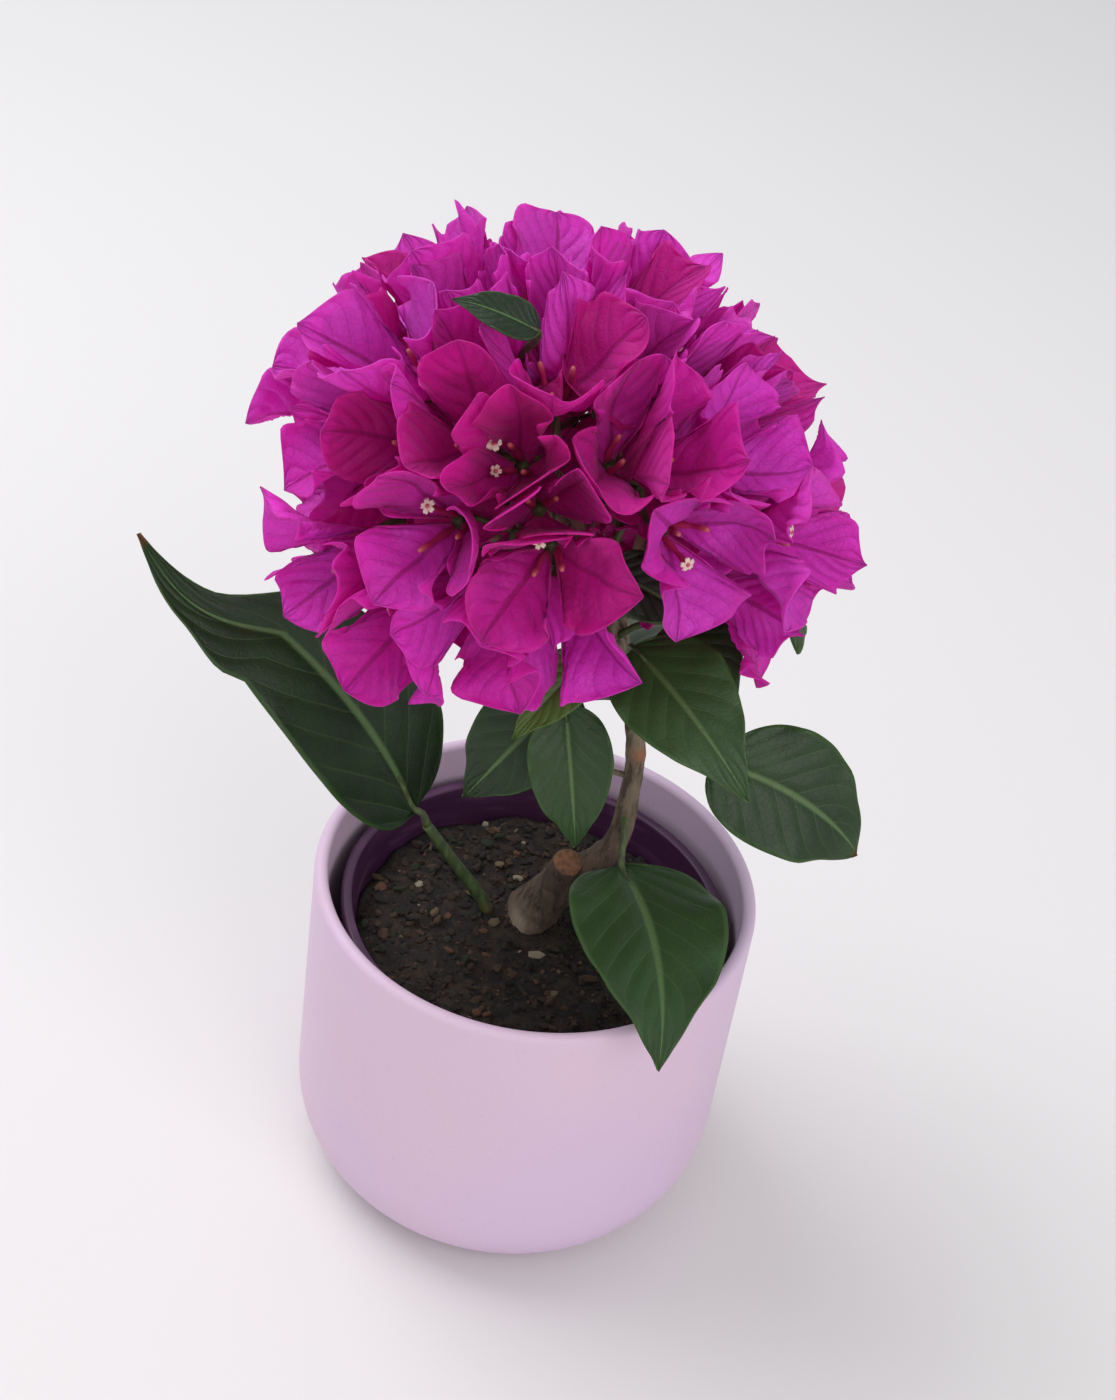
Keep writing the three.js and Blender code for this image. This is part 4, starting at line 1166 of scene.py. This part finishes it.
def bract_lift(v, u, cup, wave, phase, detail):
    """How far a bract's points rise to its inner side, as a share of its half width there."""
    edge, middle = np.abs(v), np.sin(math.pi * u)
    # cupped across and waved along, with a fold at the midrib and a swell in each half
    lift = cup * v * v + wave * v * edge * np.sin(2 * math.pi * 1.2 * u + phase)
    lift += (detail.between(0.08, 0.34) * edge + SWELL * np.sin(math.pi * edge)) * middle
    # ruffles at the margins, dips along the side veins, and crinkles all over
    ruffle, ruffles, start = detail.between(0.08, 0.17), detail.between(2.2, 3.8), 6 * detail()
    lift += ruffle * edge**2.5 * np.sin(2 * math.pi * ruffles * u + start + 1.6 * np.sign(v)) * middle**0.4
    dips = np.cos(2 * math.pi * (VEIN_PAIRS * u - BRACT_VEIN_SWEEP * edge))
    lift -= QUILT * dips * np.sin(math.pi * edge) * middle
    seed = 50 * detail()
    crinkles = np.array([noise.noise(Vector((a * 1.7, b * 3.1, seed))) for a, b in zip(v, u)])
    return lift + CRINKLE * crinkles * middle


def bloom_bracts(bloom, detail, others):
    """The three bracts of a bloom, open and with their borders, in the solids' order of seeded numbers."""
    chance = bloom.chance
    cell = cell_borders(bloom, others)
    opening = 52 + 26 * chance()
    for k in range(3):
        clock = bloom.spin + 120 * k
        thirds = third_borders(bloom, clock)
        clock += 14 * (chance() - 0.5)
        length = BRACT_LENGTH * bloom.size * (0.94 + 0.12 * chance())
        half_width = BRACT_WIDTH / 2 * bloom.size * (0.92 + 0.16 * chance())
        at_tip = math.radians(opening + 22 * (chance() - 0.5))
        cup, wave, phase = 0.22 + 0.3 * chance(), 0.1 + 0.16 * chance(), 2 * math.pi * chance()
        opened = open_bract(bloom, clock, length, half_width, BRACT_FOOT_ANGLE, at_tip, cup, wave, phase,
                            detail)
        yield opened, cell, thirds


print("a bract is", BRACT_LENGTH, "mm long and", BRACT_WIDTH, "mm wide")

# %% [markdown]
# ## Where light and shade are painted
# Bracts in the open, which face the sky or the sides, are painted a lighter magenta with a painted violet
# sheen of the sky, and those in the middle of the front, which look down into the crown, are painted a
# deep wine magenta as shade. The oldest ones are a deep wine magenta in their own colour. Each bract
# carries three numbers for its finish: how light, how violet and how deep it is painted. They come from
# its bloom's direction and a little chance, and are kept as one colour attribute, because a material can
# read that and a file can carry it.

# %% Colour of each bract
# blooms that look this way, in the middle of the front, are painted deep as shade
SHADED_WAY = direction(2, 34)
OLD_ODDS, OLD_DEPTH = 0.12, 0.75


def bract_tint(bloom, detail):
    """How light a bract is painted, how strong its painted sheen of the sky is, and how deep it is.
    Blooms that face the sky or the sides are painted lighter and get the sheen, and those in the middle of
    the front are painted deep and darker as shade. A few are old, and deep wherever they stand.
    """
    # painted shade: blooms in the middle of the front are painted deep
    deep = float(np.clip((bloom.way.dot(SHADED_WAY) - 0.72) / 0.24, 0, 1))
    # how far a bloom faces the sky or the sides, where painted light and a painted sheen go
    sky_lit = float(np.clip(bloom.way[2] * 0.6 + abs(bloom.way[0]) * 0.6, 0, 1))
    roll = detail()
    # painted light: blooms that face the sky or the sides are painted lighter, on top of a random tone
    light = 0.15 + 0.7 * roll + 0.2 * sky_lit
    age = OLD_DEPTH * (roll < OLD_ODDS)
    # painted sheen: a violet sheen of the sky, only on blooms that face the sky or the sides
    violet_sheen = sky_lit * detail.between(0.1, 0.9) * (1 - deep)
    # the middle of the front is also painted darker as shade
    return light * (1 - 0.5 * deep), violet_sheen * (1 - age), max(age, deep * detail.between(0.35, 1))


print("the deepest colour is towards", SHADED_WAY.round(2))

# %% [markdown]
# ## Inside the crown
# Deeper in the crown, older and smaller bracts stand behind the open blooms. Their tint is dim and deep,
# which is painted shade inside the crown, and so the eye meets deep colour between them and no daylight.
# Each mass but the single bloom in front has one such whorl of three, nearly flat across the mass's
# direction, and three more whorls close the view past the trunk's top. Such a bract takes the largest of
# nine sizes that fits where it stands, so each is made in all of them, from the largest down.

# %% Inner whorls
INNER_BASE_SHARE, INNER_SIZE, INNER_RISE, WHORL_SEED = 0.44, 0.8, 4, 500
# angles from the whorl's axis in radians, so such a bract lies nearly flat
INNER_FOOT_ANGLE, INNER_TIP_ANGLE, INNER_CUP, INNER_WAVE = 1.08, 1.47, 0.1, 0.15
# how large an inner bract is, and how far it reaches over its cell's borders, in the order of choice
INNER_CHOICES = [(1.35, 12), (1.35, 6), (1.1, 6), (1.1, 2), (1.1, 0), (0.9, 0), (0.75, 0), (0.6, 0),
                 (0.45, 0)]
# mass, direction, base share and axis of each whorl
WHORLS = [(name, mass["way"], INNER_BASE_SHARE, mass["way"] / CROWN_REACH) for name, mass in masses.items()
          if len(mass["blooms"]) > 1]
WHORLS += [("front_right", direction(32, -12), 0.4, direction(32, -12) / CROWN_REACH),
           ("back_right_low", direction(145, -39), 0.56, direction(0, 38)),
           ("back_low", direction(169, -59), 0.71, direction(0, 38))]
inner = []
for name, way, share, axis in WHORLS:
    low = Bloom(way, 1, Seeded(WHORL_SEED + len(inner)))
    low.base, low.axis, low.mass = on_crown(way, share), unit(axis), name
    low.cell_point = low.base + low.axis * INNER_RISE
    inner.append(low)


def inner_choices(low, clock, detail):
    """The places of one inner bract in each size, from the largest to the smallest."""
    cell, thirds = cell_borders(low, inner), third_borders(low, clock)
    for share, over in INNER_CHOICES:
        size = INNER_SIZE * share
        opened = open_bract(low, clock, BRACT_LENGTH * size, BRACT_WIDTH / 2 * size, INNER_FOOT_ANGLE,
                            INNER_TIP_ANGLE, INNER_CUP, INNER_WAVE, 6 * detail(), detail)
        borders = [(normal, offset + over) for normal, offset in cell] + thirds
        yield pressed_inside(opened, borders, low.axis, low.base)


print(len(inner), "inner whorls")

# %% [markdown]
# ## Room to open
# A real bract opens until it meets another one, and so it often lies over its neighbour. Each bract is
# first pressed into its own cell, where it can touch no other, and is left out where it would touch a
# bough or a leaf. Then, from the outermost bloom inwards, each in turn may reach over its cell's borders,
# as far as it stays clear of all the other bracts, of the boughs and of the leaves. The inner bracts come
# last, into the room that is left. Blender's BVH trees tell quickly whether two meshes cross, which makes
# thousands of such trials cheap.

# %% Bracts in their cells
class Bract:
    """One bract: its open places, its borders, and its places and bound as it is pressed now."""

    def __init__(self, bloom, mass, opened, cell, thirds, tint):
        self.bloom, self.mass, self.tint = bloom, mass, tint
        self.opened, self.cell, self.thirds = opened, cell, thirds
        self.places, self.bound = self.pressed(0)

    def pressed(self, over):
        """Its places and bound when it may reach over the borders of its cell by some millimetres."""
        borders = [(normal, offset + over) for normal, offset in self.cell] + self.thirds
        places = pressed_inside(self.opened, borders, self.bloom.axis, self.bloom.base)
        return places, growing_bound(places, BRACT_BLANK)


BRACT_SEED = 1000
bracts, left_out = [], 0
for number, (name, mass) in enumerate(masses.items()):
    for order, bloom in enumerate(mass["blooms"]):
        detail = Seeded(BRACT_SEED + 10 * number + order)
        for opened, cell, thirds in bloom_bracts(bloom, detail, blooms):
            made = Bract(bloom, name, opened, cell, thirds, bract_tint(bloom, detail))
            if crosses_any(made.bound, limbs):
                left_out += 1
            else:
                bracts.append(made)
print("bracts:", len(bracts), "left out at a leaf or a bough:", left_out)

# %% Let each bract open
REACH_OVER = (14, 10, 7, 4.5, 2.5, 1.2)


def outward_share(made):
    """How far out in the crown a bract's bloom stands."""
    return np.linalg.norm((made.bloom.base - CROWN_CENTRE) / CROWN_REACH)


reached = []
for made in sorted(bracts, key=outward_share, reverse=True):
    others = limbs + [other.bound for other in bracts if other is not made]
    for over in REACH_OVER:
        places, bound = made.pressed(over)
        if not crosses_any(bound, others):
            made.places, made.bound = places, bound
            reached.append(over)
            break
print(len(reached), "bracts reach over their borders, by", round(np.mean(reached), 1), "mm on average")

# %% Fill the inside
INNER_SEED = 1500
# the last bough and the last leaf stand at the far back, where the rear whorls may close in over them
wood = [trunk_bound, *limbs[:len(BOUGHS) - 1]]
leafy = [trunk_bound, *limbs[:-1]]
filled = [trunk_bound, *limbs, *(made.bound for made in bracts)]
inner_places, fully_clear = {name: [] for name in masses}, []
for number, low in enumerate(inner):
    detail = Seeded(INNER_SEED + number)
    for k in range(3):
        choices = [(places, growing_bound(places, BRACT_BLANK))
                   for places in inner_choices(low, low.spin + 120 * k, detail)]
        for obstacles in (filled, leafy, wood):
            fit = [choice for choice in choices if not crosses_any(choice[1], obstacles)]
            if fit:
                places, bound = fit[0]
                filled.append(bound)
                inner_places[low.mass].append(places)
                fully_clear.append(obstacles is filled)
                break
print(len(fully_clear), "inner bracts,", sum(fully_clear), "of them clear of all the others")

# %% Grow the masses
# painted shade: inner bracts are painted dim and deep, for the shade inside the crown
INNER_SHADE_TINT = (0.2, 0, 0.9)
for name in masses:
    grown = Growth()
    for places in inner_places[name]:
        grown.add(BRACT_BLANK, places, INNER_SHADE_TINT)
    for made in bracts:
        if made.mass == name:
            grown.add(BRACT_BLANK, made.places, made.tint)
    grown.thicken(BRACT_THICKNESS)
    grown.piece("bracts_" + name, [bract], ["blooms_" + name], "blooms")
print(len(masses), "masses of bracts")

# %% [markdown]
# ## Blossom
# The true flowers are small. On the foot of each bract stands one tube, slim, five-ribbed and reddish,
# with a waist below its mouth. Most are still shut and end in a pale bud. Some have opened into a cream
# star of five notched lobes with a pink throat. Tubes lean out a little with their bracts, so three of
# them make an open bunch in each bloom.

# %% Blank and shape of a star
STAR_RING_SHARES, STAR_THICKNESS, LOBE_DEPTH = (0.7, 0.38, 0.16), 0.25, 0.58
bm = bmesh.new()
bmesh.ops.create_circle(bm, segments=40, radius=1)
star_edges = bm.edges[:]
for share in STAR_RING_SHARES:
    ring, star_edges = new_ring(bmesh.ops.extrude_edge_only(bm, edges=star_edges)["geom"])
    for vertex in ring:
        vertex.co = vertex.co.normalized() * share
bmesh.ops.contextual_create(bm, geom=star_edges)
star_blank = Blank(bm)
star_reach = np.linalg.norm(star_blank.flat, axis=1)
star_clock = np.arctan2(star_blank.flat[:, 1], star_blank.flat[:, 0])
lobes = np.abs(np.cos(2.5 * star_clock))
notch = 0.16 * np.exp(-((np.sin(2.5 * star_clock) / 0.16) ** 2))


def star_places(mouth, axis, radius, droop, spin):
    """The places of an open star of five notched lobes at a tube's mouth."""
    side = unit(np.cross(axis, (0.3, 0.2, 0.93)))
    over = np.cross(axis, side)
    out = star_reach * (1 - (LOBE_DEPTH * (1 - lobes**0.6) + notch) * star_reach**2) * radius
    rise = radius * (0.35 * star_reach - droop * star_reach**3 - 0.12 * lobes * star_reach)
    clock = star_clock + spin
    flat = np.outer(out * np.cos(clock), side) + np.outer(out * np.sin(clock), over)
    return mouth + flat + np.outer(rise, axis)


print("a star's blank has", len(star_blank.faces), "faces")

# %% Tubes and stars
BLOSSOM_SEED, OPEN_ODDS, STAR_RADIUS, TUBE_LENGTH = 3000, 0.2, 2.0, 14
TUBE_WIDTHS = [0.5, 0.85, 1.0, 0.85, 0.6, 0.75, 0.85, 0.5]
tube_blank = round_blank(10, 14)
tube_share = tube_blank.flat[:, 2]


def tube_ribs(z, clock, place):
    return 1 + 0.1 * math.cos(5 * clock)


tubes, stars, opened = Growth(), Growth(), 0
for number, bloom in enumerate(blooms):
    detail = Seeded(BLOSSOM_SEED + number)
    around = limbs + [made.bound for made in bracts if made.bloom is not bloom]
    for k in range(3):
        clock = bloom.spin + 120 * k + detail.between(-12, 12)
        foot = bloom.base + turned_away(bloom.axis, 90, clock) * 1.6 + bloom.axis * 0.6
        lean, length = detail.between(8, 20), TUBE_LENGTH * detail.between(0.8, 1.15)
        tip = foot + turned_away(bloom.axis, lean, clock) * length
        bowed = turned_away(bloom.axis, 90, clock + detail.between(-90, 90)) * detail.between(0.2, 0.9)
        middle = (foot + tip) / 2 + bowed
        places = stem_places(tube_blank, [foot, middle, tip], TUBE_WIDTHS, tube_ribs)
        is_open, light, spin = detail() < OPEN_ODDS, detail(), 6 * detail()
        if crosses_any(growing_bound(places, tube_blank), around):
            continue
        bud = np.clip((tube_share - 0.8) / 0.2, 0, 1)
        tubes.add(tube_blank, places, np.stack([np.full_like(bud, light), bud, bud * 0], axis=1))
        if is_open:
            opened += 1
            axis = unit(tip - middle)
            radius, droop = STAR_RADIUS * detail.between(0.8, 1.1), detail.between(0.05, 0.4)
            throat = np.clip(1.2 - star_reach * 2.2, 0, 1) + 0.25 * light
            places = star_places(tip - axis * 0.4, axis, radius, droop, spin)
            stars.add(star_blank, places, np.stack([throat * 0, throat, throat * 0], axis=1))
stars.thicken(STAR_THICKNESS)
tubes = tubes.piece("flower_tubes", [tube_skin], (), "blooms")
stars = stars.piece("flower_stars", [star_skin], (), "blooms")
print("open stars:", opened, "tubes:", triangles(tubes), "triangles, stars:", triangles(stars), "triangles")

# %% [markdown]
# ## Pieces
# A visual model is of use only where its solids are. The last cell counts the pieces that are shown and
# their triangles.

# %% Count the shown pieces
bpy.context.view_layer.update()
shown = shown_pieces()
print(len(shown), "pieces with", sum(triangles(p) for p in shown), "triangles")
